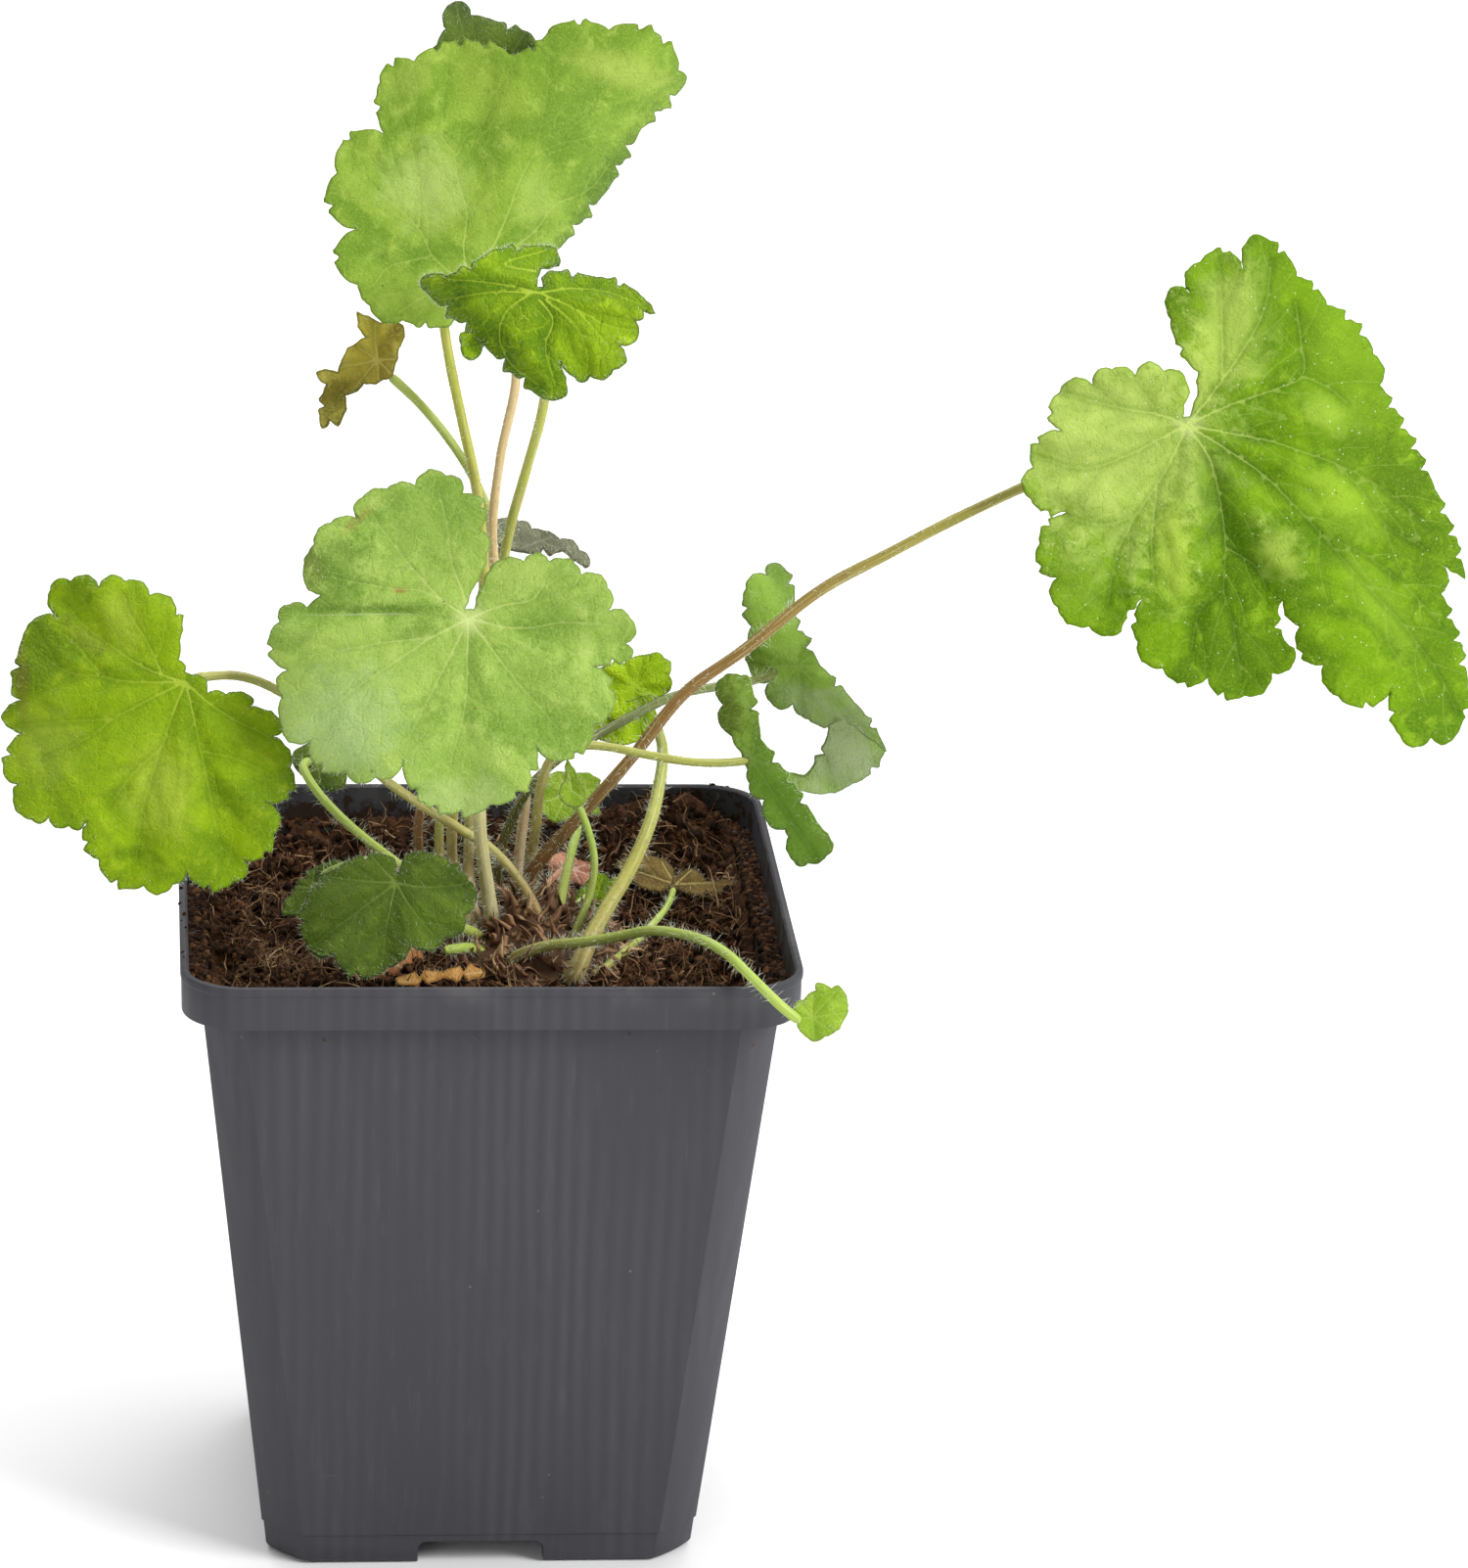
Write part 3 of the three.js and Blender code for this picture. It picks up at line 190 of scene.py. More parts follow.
LEAVES = [
    Leaf("tall_left", (0.5, 4, 190.8), (1.2, 1), [
        (5.5, 6.5, 92), (6, 6, 99.9), (6.7, 5, 109.6), (5.3, 4, 122.3), (2.3, 1.5, 137.6),
        (0.8, 1.5, 150.4), (1.9, 3, 161.9), (4, 5, 173.3), (2.7, 6.5, 180.3), (-2.5, 6, 185.8)
    ], [
        sheet([
            (5, -0.3, 0), (9.5, 2.1, 0), (16.6, 10.8, 0), (21.3, 19.5, 0.04), (27.7, 26.2, 0.25),
            (26.6, 27.9, 0.27), (16.5, 33.7, 0.14), (7.8, 33.7, -0.12), (2, 30.1, 0.17), (-11.7, 29, 0.28),
            (-16.7, 25.9, 0.1), (-16.1, 18.6, 0.33), (-22.9, 12.8, 0.32), (-20.2, 4.7, 0.38),
            (-19.9, -3.4, 0.1), (-18.1, -6.4, 0.25), (-13.3, -8.5, 0.06), (-6.7, -9.4, 0.2),
            (-6.1, -6.3, 0), (-2.2, -2.4, 0)
        ], lean=(0, -0.12), cup=3, bends=[(-37, -7, 0.07)],
            creases=[(100, 1.5, 9), (62, 1.5, 8), (140, 1, 9)]),
    ]),
    Leaf("back_top", (-1, 18, 210.1), (1.2, 1.1), [
        (-2.3, 1, 90.1), (-3.8, 3, 95.6), (-4.4, 2.5, 102.8), (-3.9, 2, 111.4), (-2.2, 0.5, 127.2),
        (-0.5, -1, 142.9), (-1.8, -1, 157.9), (-3.9, 2, 167.4), (-5.6, 7, 174.9), (-6.5, 11, 181.2),
        (-6, 16, 191.7), (-3.3, 19.5, 202.6), (-1.2, 19.5, 208.8)
    ], [
        sheet([
            (6.8, 11.3, 0), (1.1, 13.2, 0.02), (-1.6, 13.7, 0.3), (-4.6, 15.3, 0.2), (-5.3, 11.7, 0.1),
            (-7.5, 3.1, 0.2), (-6.1, -5.4, 0.2), (1.1, -9.2, 0.2), (8, -4, 0.2), (9, 6, 0.1)
        ], lean=(0, -0.2), bends=[(90, 8, 0.1)], ripple=(1, 3, 0)),
    ]),
    Leaf("tall_front", (6, -15, 191.3), (1.2, 1.1), [
        (-0.9, -3, 91.6), (-1.8, -1, 96.3), (-2, -0.5, 103), (-1.6, -3, 113.2), (0.4, -5, 129.1),
        (1.7, -6, 144.5), (2.7, -7, 153), (5, -9, 163.3), (7.1, -11.5, 173.6), (7.8, -12, 183.5),
        (6.4, -13.2, 190.3)
    ], [
        sheet([
            (0.5, 0.9, 0), (0.3, 2.2, 0), (1.5, 3.2, 0.02), (8.2, 2.3, 0.08), (14.5, -0.2, 0.05),
            (16.6, -2.8, 0.1), (14.9, -2.5, 0.3), (13.8, -3.9, 0.35), (11.6, -7.4, 0.35),
            (10.6, -10.9, 0.25), (7.3, -11.8, 0.35), (5, -11.9, 0.1), (3.1, -9.9, 0), (4.1, -13.6, 0.1),
            (3.6, -14.8, 0.1), (0.5, -15, 0.03), (-8.1, -7, 0.02), (-16.1, 0.2, 0.3), (-16.4, 2.5, 0.1),
            (-13.4, 2.5, -0.05), (-7.1, 6, 0.03), (1.2, 6.7, 0.15), (2.8, 5.3, 0.1), (2.8, 3.9, 0),
            (0.3, 3.5, 0), (-0.3, 2.2, 0), (-0.3, 0.9, 0)
        ], lean=(0.1, -0.35), bends=[(80, -1, 0.09), (222, 6, 0.14)],
            creases=[(-62, 1.6, 12), (-20, 1, 12), (175, 1, 14)]),
        sheet([
            (-7.2, -6.2, 0.1), (-11.3, -5.7, 0.1), (-11.2, -7.3, 0.15), (-9.9, -9.6, 0.15), (-8.1, -7.8, 0)
        ], lift=-2.6, lean=(0.1, -0.35)),
    ]),
    Leaf("withered", (-16, 10, 174.3), (1.1, 1), [
        (-3.2, 4, 89.6), (-5.5, 6.5, 94.6), (-6.1, 7, 101.9), (-5.4, 7.5, 109.5), (-2.7, 7.5, 124.9),
        (-0.1, 7, 140.4), (0.6, 6.5, 151.1), (-1.9, 6.5, 157.4), (-5.4, 7, 162.9), (-9.7, 8.5, 167.9),
        (-14.3, 10.5, 171.9)
    ], [
        sheet([
            (2.3, -1.8, 0), (3.1, 1.7, 0.1), (3.7, 5.1, 0.1), (0.5, 5.4, 0), (-3.1, 7.1, 0.1),
            (-1.8, 3.3, 0.1), (-5.5, -0.5, 0), (-5.9, -1.8, 0.1), (-9.1, -1.9, 0.1), (-7.5, -3.6, 0.1),
            (-8.2, -10.1, 0.2), (-7.1, -8.9, 0), (-5.9, -9.8, 0.1), (-4.8, -5.2, 0.1), (-2.1, -3.5, 0.1),
            (0.8, -2.9, 0.2)
        ], cup=-2, ripple=(2, 6, 1), creases=[(75, 2, 16), (215, 2, 16)]),
    ]),
    Leaf("far_right", (103, 2, 167.3), (1.5, 1.1), [
        (6.5, -1.5, 95.4), (8, -3, 100.1), (12.4, -4, 106.1), (17.8, -4, 112.6), (22.4, -3.5, 118.2),
        (29.6, -1, 126.6), (38.3, 1, 132.6), (49.9, 3.5, 141.3), (59.4, 5, 146.2), (69.5, 6, 151.4),
        (79.6, 6.5, 156.3), (90.2, 7, 161), (98.6, 6, 164.9), (102.6, 3.9, 166.9)
    ], [
        sheet([
            (0.3, 1.3, 0), (1.4, 4.4, 0), (1.5, 7.8, 0.1), (-2.5, 15.5, 0.15), (-2.5, 20.2, 0.2),
            (0.5, 19.1, 0.3), (1.8, 24, 0.36), (8.2, 22.7, 0.15), (9.6, 28, 0.14), (16, 21.8, 0.12),
            (20.4, 17.6, 0.12), (27.2, 10.4, 0.2), (28.2, 5.8, 0.03), (36.3, -9.5, 0.04), (40.8, -22.7, 0),
            (37.5, -20.6, 0.2), (37.3, -24.9, 0.05), (41.2, -38.6, 0.08), (39.5, -45.8, 0.3),
            (35.9, -46, 0.35), (31.3, -45.7, 0.12), (30, -38.9, 0.26), (22.2, -40, 0.2), (20, -35.4, 0.3),
            (16.5, -29.7, 0.15), (14.1, -25.8, -0.2), (15.8, -32.8, 0.3), (12.5, -36.6, 0.25),
            (8.5, -39.9, 0.25), (3, -37.3, 0.25), (-3.6, -35.9, 0.25), (-7.3, -32, 0.15),
            (-6.5, -25.6, -0.1), (-9.6, -30.4, 0.2), (-14.5, -29.7, 0.2), (-19.1, -26.9, 0.25),
            (-19.2, -22.5, 0.3), (-21.8, -17.5, 0.2), (-17.8, -12.8, 0.2), (-23.1, -10.9, 0.3),
            (-22.8, -6.2, 0.3), (-18.6, -0.8, 0.3), (-18.9, 4.8, 0.3), (-14, 6, 0.3), (-11.1, 8.3, 0.2),
            (-7.7, 7.4, 0.35), (-3.5, 8, 0.25), (-0.2, 6.5, 0), (0.4, 4.8, 0), (-0.5, 2.9, 0),
            (-0.6, 1.2, 0)
        ], lean=(0, -0.22), bends=[(15, 6, 0.022)],
            creases=[(-30, 2, 5), (-68, 2.5, 6), (-8, 1.5, 5), (35, 1.5, 8), (-118, 1.2, 8), (-168, 1, 9)]),
    ]),
    Leaf("front", (-3.8, -26, 146), (1.6, 1.2), [
        (1.8, -5.5, 90.9), (0.5, -6.5, 98.2), (-0.7, -8, 107.3), (-1.4, -11, 119), (-2.2, -17, 133),
        (-3.3, -23.5, 144.1), (-3.8, -24.8, 146.3)
    ], [
        sheet([
            (0.7, 1.4, 0), (1.4, 4, 0), (3.3, 7.7, 0.15), (7.8, 8.3, 0.3), (11.5, 8.3, 0.25),
            (16.1, 6.4, 0.25), (19.9, 4.5, 0.2), (20, 1.2, 0.2), (23.1, 0.2, 0.3), (22.5, -3.5, 0.2),
            (23.4, -5.4, 0.05), (17.8, -6.8, 0.25), (20, -13.8, 0.12), (17.9, -15.2, 0.3),
            (10.5, -19.6, 0.02), (9.4, -17.9, 0.25), (3.2, -26.6, 0.3), (-9.4, -20.4, 0.25),
            (-13.4, -22.8, 0.3), (-17.6, -21.8, 0.3), (-22.8, -17.6, 0.3), (-26.8, -15.4, 0.1),
            (-26.7, -11.2, 0.3), (-26, -7.4, 0.3), (-27.1, -0.5, 0.3), (-25.7, 2, 0.2), (-23.2, 1.6, 0),
            (-21.2, 3.4, 0.15), (-23.7, 5.7, 0.1), (-22.2, 10.6, 0.2), (-19.8, 13.7, 0.2),
            (-15.6, 13.9, 0.3), (-15.3, 17.4, 0.12), (-11.8, 18.6, 0.15), (-7.8, 19.1, 0.3),
            (-3.3, 20.5, 0.3), (-0.9, 18, 0.35), (1.5, 12.8, 0.25), (2.5, 9.3, 0.1), (2.3, 7.6, 0),
            (0.4, 4, 0), (-0.6, 1.4, 0)
        ], lean=(0, -0.3), bends=[(-90, 16, 0.02), (200, 14, 0.02)],
            creases=[(176, 3.2, 7), (208, -1.5, 8), (-92, 1.2, 9), (-12, 1.2, 10), (125, 1, 12)]),
    ]),
    Leaf("low_left", (-44.2, -20, 134.4), (1.1, 1), [
        (9.4, -8, 90), (7.6, -6, 95), (4.4, -4, 99.7), (0.6, -3.5, 103.5), (-3.5, -4, 106.3),
        (-9.5, -6, 110.8), (-15.4, -8.5, 116), (-23.4, -12, 124.6), (-30.7, -15, 131.4),
        (-36.4, -17.5, 134.5), (-41.6, -18.8, 134.8), (-43.8, -19.5, 134.5)
    ], [
        sheet([
            (3.1, 0.4, 0), (3.1, -1.6, 0.15), (5.8, -1.7, 0.15), (9.8, -2.4, 0.1), (9.3, -3.5, 0.12),
            (14.1, -6.1, 0.2), (12.6, -7.8, 0.2), (15.1, -12.3, 0.35), (11.6, -17.4, 0.3),
            (12.7, -21.9, 0.25), (8.6, -25.7, 0.3), (6.9, -28.8, 0.25), (0.2, -27.4, 0.15),
            (-1.8, -29.2, 0.3), (-6, -29.4, 0.25), (-12.5, -25.6, 0.25), (-14.1, -20.1, 0.3),
            (-16.8, -20.8, 0.25), (-19.7, -19.6, 0.25), (-22.1, -19.9, 0.2), (-24.7, -16.5, 0.2),
            (-24, -14.8, 0.1), (-25.9, -13.8, 0.15), (-23.7, -7.5, 0.1), (-26.5, -5.1, 0.1),
            (-23.7, -2.6, 0), (-25, -2, 0.04), (-23.4, 6.3, 0.1), (-21.1, 9.4, 0.1), (-18.3, 9.3, 0.2),
            (-19.5, 13.1, 0.3), (-16.5, 14.5, 0.3), (-12.5, 13.7, 0.3), (-8.7, 14.5, 0.25),
            (-5.2, 12.5, 0.3), (-1.4, 9.6, 0.1), (-0.3, 9.6, 0), (-0.8, 5.9, 0.05), (-1, 3.2, 0.2),
            (-0.1, 1.5, 0)
        ], lean=(0.05, -0.35), bends=[(165, 6, 0.02), (60, 4, 0.05), (-90, 20, 0.03)],
            creases=[(150, 1.2, 10), (200, 1.2, 10), (-110, 1.2, 8), (-75, 1.2, 8), (-38, 1.2, 9)]),
    ]),
    Leaf("right_curled", (49.3, 30, 120.7), (1.1, 1), [
        (2.4, 1, 94), (2.9, 1, 101), (4.2, 0, 106), (7.1, -2, 112.5), (11, 0, 115.8), (16, 3, 118),
        (22.3, 7, 120.2), (29.3, 13, 121.5), (36.5, 20, 120.7), (42.5, 26, 119.7), (46.5, 31, 119.5)
    ], [
        sheet([
            (-7.1, 6, 0.15), (-8, 11.7, 0.3), (-4.8, 13.8, 0.3), (-3.5, 15.7, 0.2), (-1.1, 8.7, 0),
            (3.4, 0, 0.02), (8.6, -5.6, 0.05), (13.5, -13.1, 0), (9.7, -10.9, 0.05), (7.1, -8.8, 0.15),
            (1.6, -8.2, 0.15), (-0.8, -5.9, 0.25), (-4.1, -5.6, 0.2), (-4.4, -2.5, 0.2), (-6.8, -1.8, 0.1)
        ], bends=[(35, 0, 0.2), (200, 3, 0.12)]),
        sheet([
            (13.3, -12.6, 0.12), (8.4, -17.9, 0.08), (3.1, -19.5, 0.06), (-1.5, -17.9, 0.15),
            (-2.2, -16.2, -0.02), (1, -16.7, -0.08), (4.6, -9, 0), (7.1, -8, 0), (9.9, -10.2, 0)
        ], lift=-0.3, bends=[(-80, 10, 0.1)]),
    ]),
    Leaf("right_edge", (38.5, -15, 121.1), (1.2, 0.9), [
        (7.3, 2.5, 96), (7.6, 1.5, 100.8), (8, -1.5, 107.3), (8.3, -5, 113.4), (9.8, -8, 118.9),
        (13.3, -9.5, 121.2), (17.5, -10.5, 121.4), (23.2, -12, 120.7), (29.6, -13.5, 120.1),
        (34.5, -14.5, 120.3), (38, -15, 120.8)
    ], [
        sheet([
            (-1.6, 12.2, 0.2), (-0.3, 11.8, 0.02), (1.3, 2.9, 0.02), (9.6, -9.3, 0.02), (12, -12.4, 0.15),
            (11, -14.2, 0.15), (8.3, -15.3, 0.3), (6.2, -15, 0.15), (5.4, -11.4, 0), (4.9, -10.4, 0.05),
            (3.1, -10.2, 0.15), (1.9, -6, 0.25), (-0.3, -3.6, 0.1), (-0.6, -1.6, 0), (-1.6, 1, 0.05),
            (-2.9, 3.3, 0.05), (-4.6, 4.9, 0.15), (-4.2, 7.9, 0.12), (-5.2, 10.8, 0.2)
        ], lean=(0.9, 0.1)),
    ]),
    Leaf("crinkled", (23.2, 14, 122.4), (2, 1.1), [
        (13.2, -17, 88.7), (15.6, -14.5, 93.2), (18.6, -10.5, 97.1), (22, -6, 101.3), (24.9, -1, 106.3),
        (26.7, 6, 110.1), (27.5, 12, 113.4), (26.4, 16.5, 116.7), (24, 16.5, 121)
    ], [
        sheet([
            (-5.6, 2.8, 0.03), (2.3, 5.1, 0.2), (4.4, 4.5, 0), (5.5, 3.9, 0.05), (5.2, 1.9, 0.1),
            (5.4, -0.3, 0.12), (1.3, -1.5, 0.3), (-1.1, -4.1, 0.25), (-3.9, -4.4, 0.1), (-6.2, -1.8, 0.1)
        ], lean=(0, -0.3), ripple=(0.8, 6, 0)),
        sheet([
            (-6.1, -3, 0), (-1.2, -2, 0), (2.8, -0.9, 0.1), (2.3, -6, 0.1), (-0.3, -8.3, 0.1),
            (-3.8, -8.2, 0.1), (-6.1, -6.9, 0.1)
        ], lift=0.4, lean=(0, -0.15)),
    ]),
    Leaf("back_edge", (8.6, 14, 145.3), (1.2, 1), [
        (-3.4, 7.5, 90.1), (-7.8, 9, 94.2), (-9.1, 10, 99.3), (-7.3, 12, 111.1), (-1.9, 13, 124.6),
        (2.2, 14, 140), (3.5, 15.5, 146)
    ], [
        sheet([
            (5.8, -1.3, 0.1), (7.4, -2.7, 0.2), (6.7, -3.9, 0), (3.3, -1.4, 0.05), (-2.5, -1.6, 0.05),
            (-6.4, -0.4, 0.1), (-6.6, 3.1, 0.1), (-3.2, 3, 0.2), (-1.3, 1.8, 0.1), (2.9, 0.3, 0.2)
        ], lean=(0, -1.6), bends=[(0, 2, 0.05)]),
    ]),
    Leaf("left_back", (-24.1, 8, 111.5), (1.1, 1), [
        (-2.3, -5.5, 92.8), (-7.8, -6, 97.6), (-13.7, -6, 102.3), (-19.4, -3, 106.1), (-24.4, 2, 109.9),
        (-26.5, 6, 112.5), (-25.6, 8.8, 112.6)
    ], [
        sheet([
            (4.1, -0.9, 0.2), (2.5, -3.1, 0.2), (-0.6, -1.8, 0.1), (-3.8, 0.6, 0.1), (-3.8, 2.6, 0.1),
            (0.6, 3.8, 0.1), (3.5, 1.6, 0.1)
        ], lean=(0, -0.8)),
    ]),
    Leaf("low_dark", (-13.5, -20, 103.5), (1.1, 1), [
        (-0.3, -8, 90.6), (-3.9, -11, 93.6), (-8.2, -15, 97.8), (-12.4, -18.6, 102.6)
    ], [
        sheet([
            (0, 1.8, 0), (-0.1, 3.5, 0.15), (-8.5, 2.1, 0.12), (-13.1, -2.8, 0.15), (-13.1, -8.6, 0.3),
            (-9.1, -10.2, 0.3), (-1.2, -12.2, 0.15), (2.2, -9, 0.25), (7.3, -7.8, 0.3), (10, -4.6, 0.3),
            (10.5, 0.5, 0.12), (4.6, 4.4, 0.2), (0.8, 3.1, 0), (0.5, 1.5, 0)
        ], lean=(0, -0.8), bends=[(190, 7, 0.05)], creases=[(-100, 1.2, 16), (190, -0.8, 16)]),
    ]),
    Leaf("shaded", (-25.2, 4, 94), (0.9, 0.8), [
        (-5.5, -0.5, 89.5), (-9, 2, 95.5), (-13.3, 4, 98.6), (-19.3, 3.4, 98.2), (-22, 4.2, 97),
        (-23.6, 6.2, 95.3)
    ], [
        sheet([
            (4.7, 4.1, 0.1), (3.9, 1.2, 0), (0, -2.5, 0.1), (-4.4, -4, 0.1), (-2.7, -0.6, 0.1),
            (1.4, 3.5, 0.1)
        ], lean=(0, -0.6)),
    ]),
    Leaf("over_rim", (45.1, -50, 93.9), (1.2, 1.1), [
        (4.1, -14, 89.4), (8.6, -16, 92.2), (13.6, -19, 93.9), (18.8, -22.5, 96.1), (23.4, -27, 98.7),
        (28.6, -33, 100.1), (33, -41, 100.6), (36.7, -47.5, 98.9), (40.4, -49.8, 95.8), (43.4, -50, 93.3)
    ], [
        sheet([
            (-2.2, -1.1, 0), (-2.6, 0.8, 0.2), (-1.2, 2.6, 0.1), (0.6, 3.9, 0.1), (0.6, 5, 0.1),
            (2.7, 4.2, 0), (3.7, 4.7, 0.1), (5.1, 1.4, 0.15), (1.8, -2.7, 0.1), (0, -3.4, 0), (-1.7, -2, 0)
        ], cup=1.5, bends=[(20, 1, 0.08)]),
    ]),
    Leaf("seedling", (30.7, 20.5, 88.6), (0.9, 0.7), [
        (16, -14, 87), (21.5, -6, 87.9), (26, 4, 88.2), (29.2, 14, 87.9), (30.4, 19.8, 88.2)
    ], [
        sheet([
            (-0.3, 0.3, 0.2), (-4.5, -0.6, 0.2), (-6.7, 1.9, 0.1), (-9.3, 3.1, 0.1), (-6.7, 4, 0.1),
            (-2.4, 4, 0.2)
        ], lean=(0, -0.8)),
        sheet([
            (-0.8, -0.2, 0.1), (1, 2, 0.2), (3.4, 1.9, 0.1), (4.6, 0.5, 0.02), (10, 0.4, 0.1),
            (8.1, -1, 0.1), (1.3, -1.1, 0.1)
        ], lean=(0, -0.8)),
    ]),
    Leaf("folded_young", (12.6, -8, 113.7), (0.9, 0.8), [
        (13, -10, 90.7), (14.4, -9.5, 94.2), (15.8, -9, 98.7), (16.2, -8.5, 103.1), (15.2, -8, 107.6),
        (13.4, -7.4, 112)
    ], [
        sheet([
            (1.8, -2, 0.2), (-0.8, -2, 0.15), (-1.8, 0, 0.1), (-1, 1.4, 0), (-0.7, 5.2, 0),
            (1.2, 1.4, 0.05), (2.1, -0.6, 0.1)
        ], cup=1),
    ]),
    Leaf("pale_back", (13.3, 16, 104.7), (1.1, 1), [
        (11.1, -2, 89.9), (12.4, 3, 94.3), (14, 9, 98.4), (15, 14, 100.6), (13.8, 17, 103.4)
    ], [
        sheet([
            (5.4, 2.2, 0.1), (1.8, 3.3, 0.1), (-3.4, 2.5, 0.1), (-4.4, -0.4, 0.1), (-1.9, -4.1, 0.15),
            (1.8, -2.6, 0.05), (5.4, -2.9, 0.02), (4.2, -0.4, 0)
        ], lean=(0, -0.3)),
    ]),
    Leaf("serrated", (18.3, 9, 91.9), (0.8, 0.7), [
        (12.1, 4, 88.2), (14.6, 6.5, 90.4), (17, 9.5, 91.2)
    ], [
        sheet([
            (3.4, 2.1, 0), (2.4, -0.9, 0.1), (-1.7, -2.5, 0.1), (-4.7, -2.3, 0), (-1.7, 1.5, 0.1),
            (0.8, 2.5, 0), (1.5, 1.6, 0)
        ], lean=(0.3, -0.3)),
    ]),
    Leaf("dead_pink", (15.4, 27, 88.8), (0.8, 0.7), [
        (9, 5, 89.6), (10.5, 13, 91), (13, 21, 90.5), (15, 26.8, 89.3)
    ], [
        sheet([
            (4, -0.6, 0.1), (3.7, -2.2, 0.1), (-0.8, -1.8, 0.1), (-3.3, -1.5, 0.1), (-3.9, 0.9, 0.1),
            (-1.8, 2.6, 0.1), (0.7, 1.4, 0.1)
        ], lean=(0, -0.5), ripple=(0.6, 5, 0)),
    ]),
    Leaf("dead_leaf_front", (-14.5, -13, 89.4), None, [], [
        sheet([
            (5, 1, 0.15), (0, 1.6, 0.1), (-5, 1, 0.15), (-6, -1.5, 0.2), (0, -2.2, 0.15), (5, -1.6, 0.15)
        ], lean=(0, -1.9), ripple=(0.5, 4, 1)),
    ]),
    Leaf("dead_leaf_middle", (-7.5, -21.5, 89.2), None, [], [
        sheet([
            (7, 1.2, 0.1), (1, 1, 0.05), (-6, 0, 0.2), (-5, -0.9, 0.05), (1, 0.1, 0.05), (7, 0.3, 0.2)
        ], lean=(0, -1.5)),
    ]),
]

CUT_STUB = ([(1.1, -10, 88.3), (-1.6, -12, 90.4), (-6.2, -17, 92)], (1.2, 1))

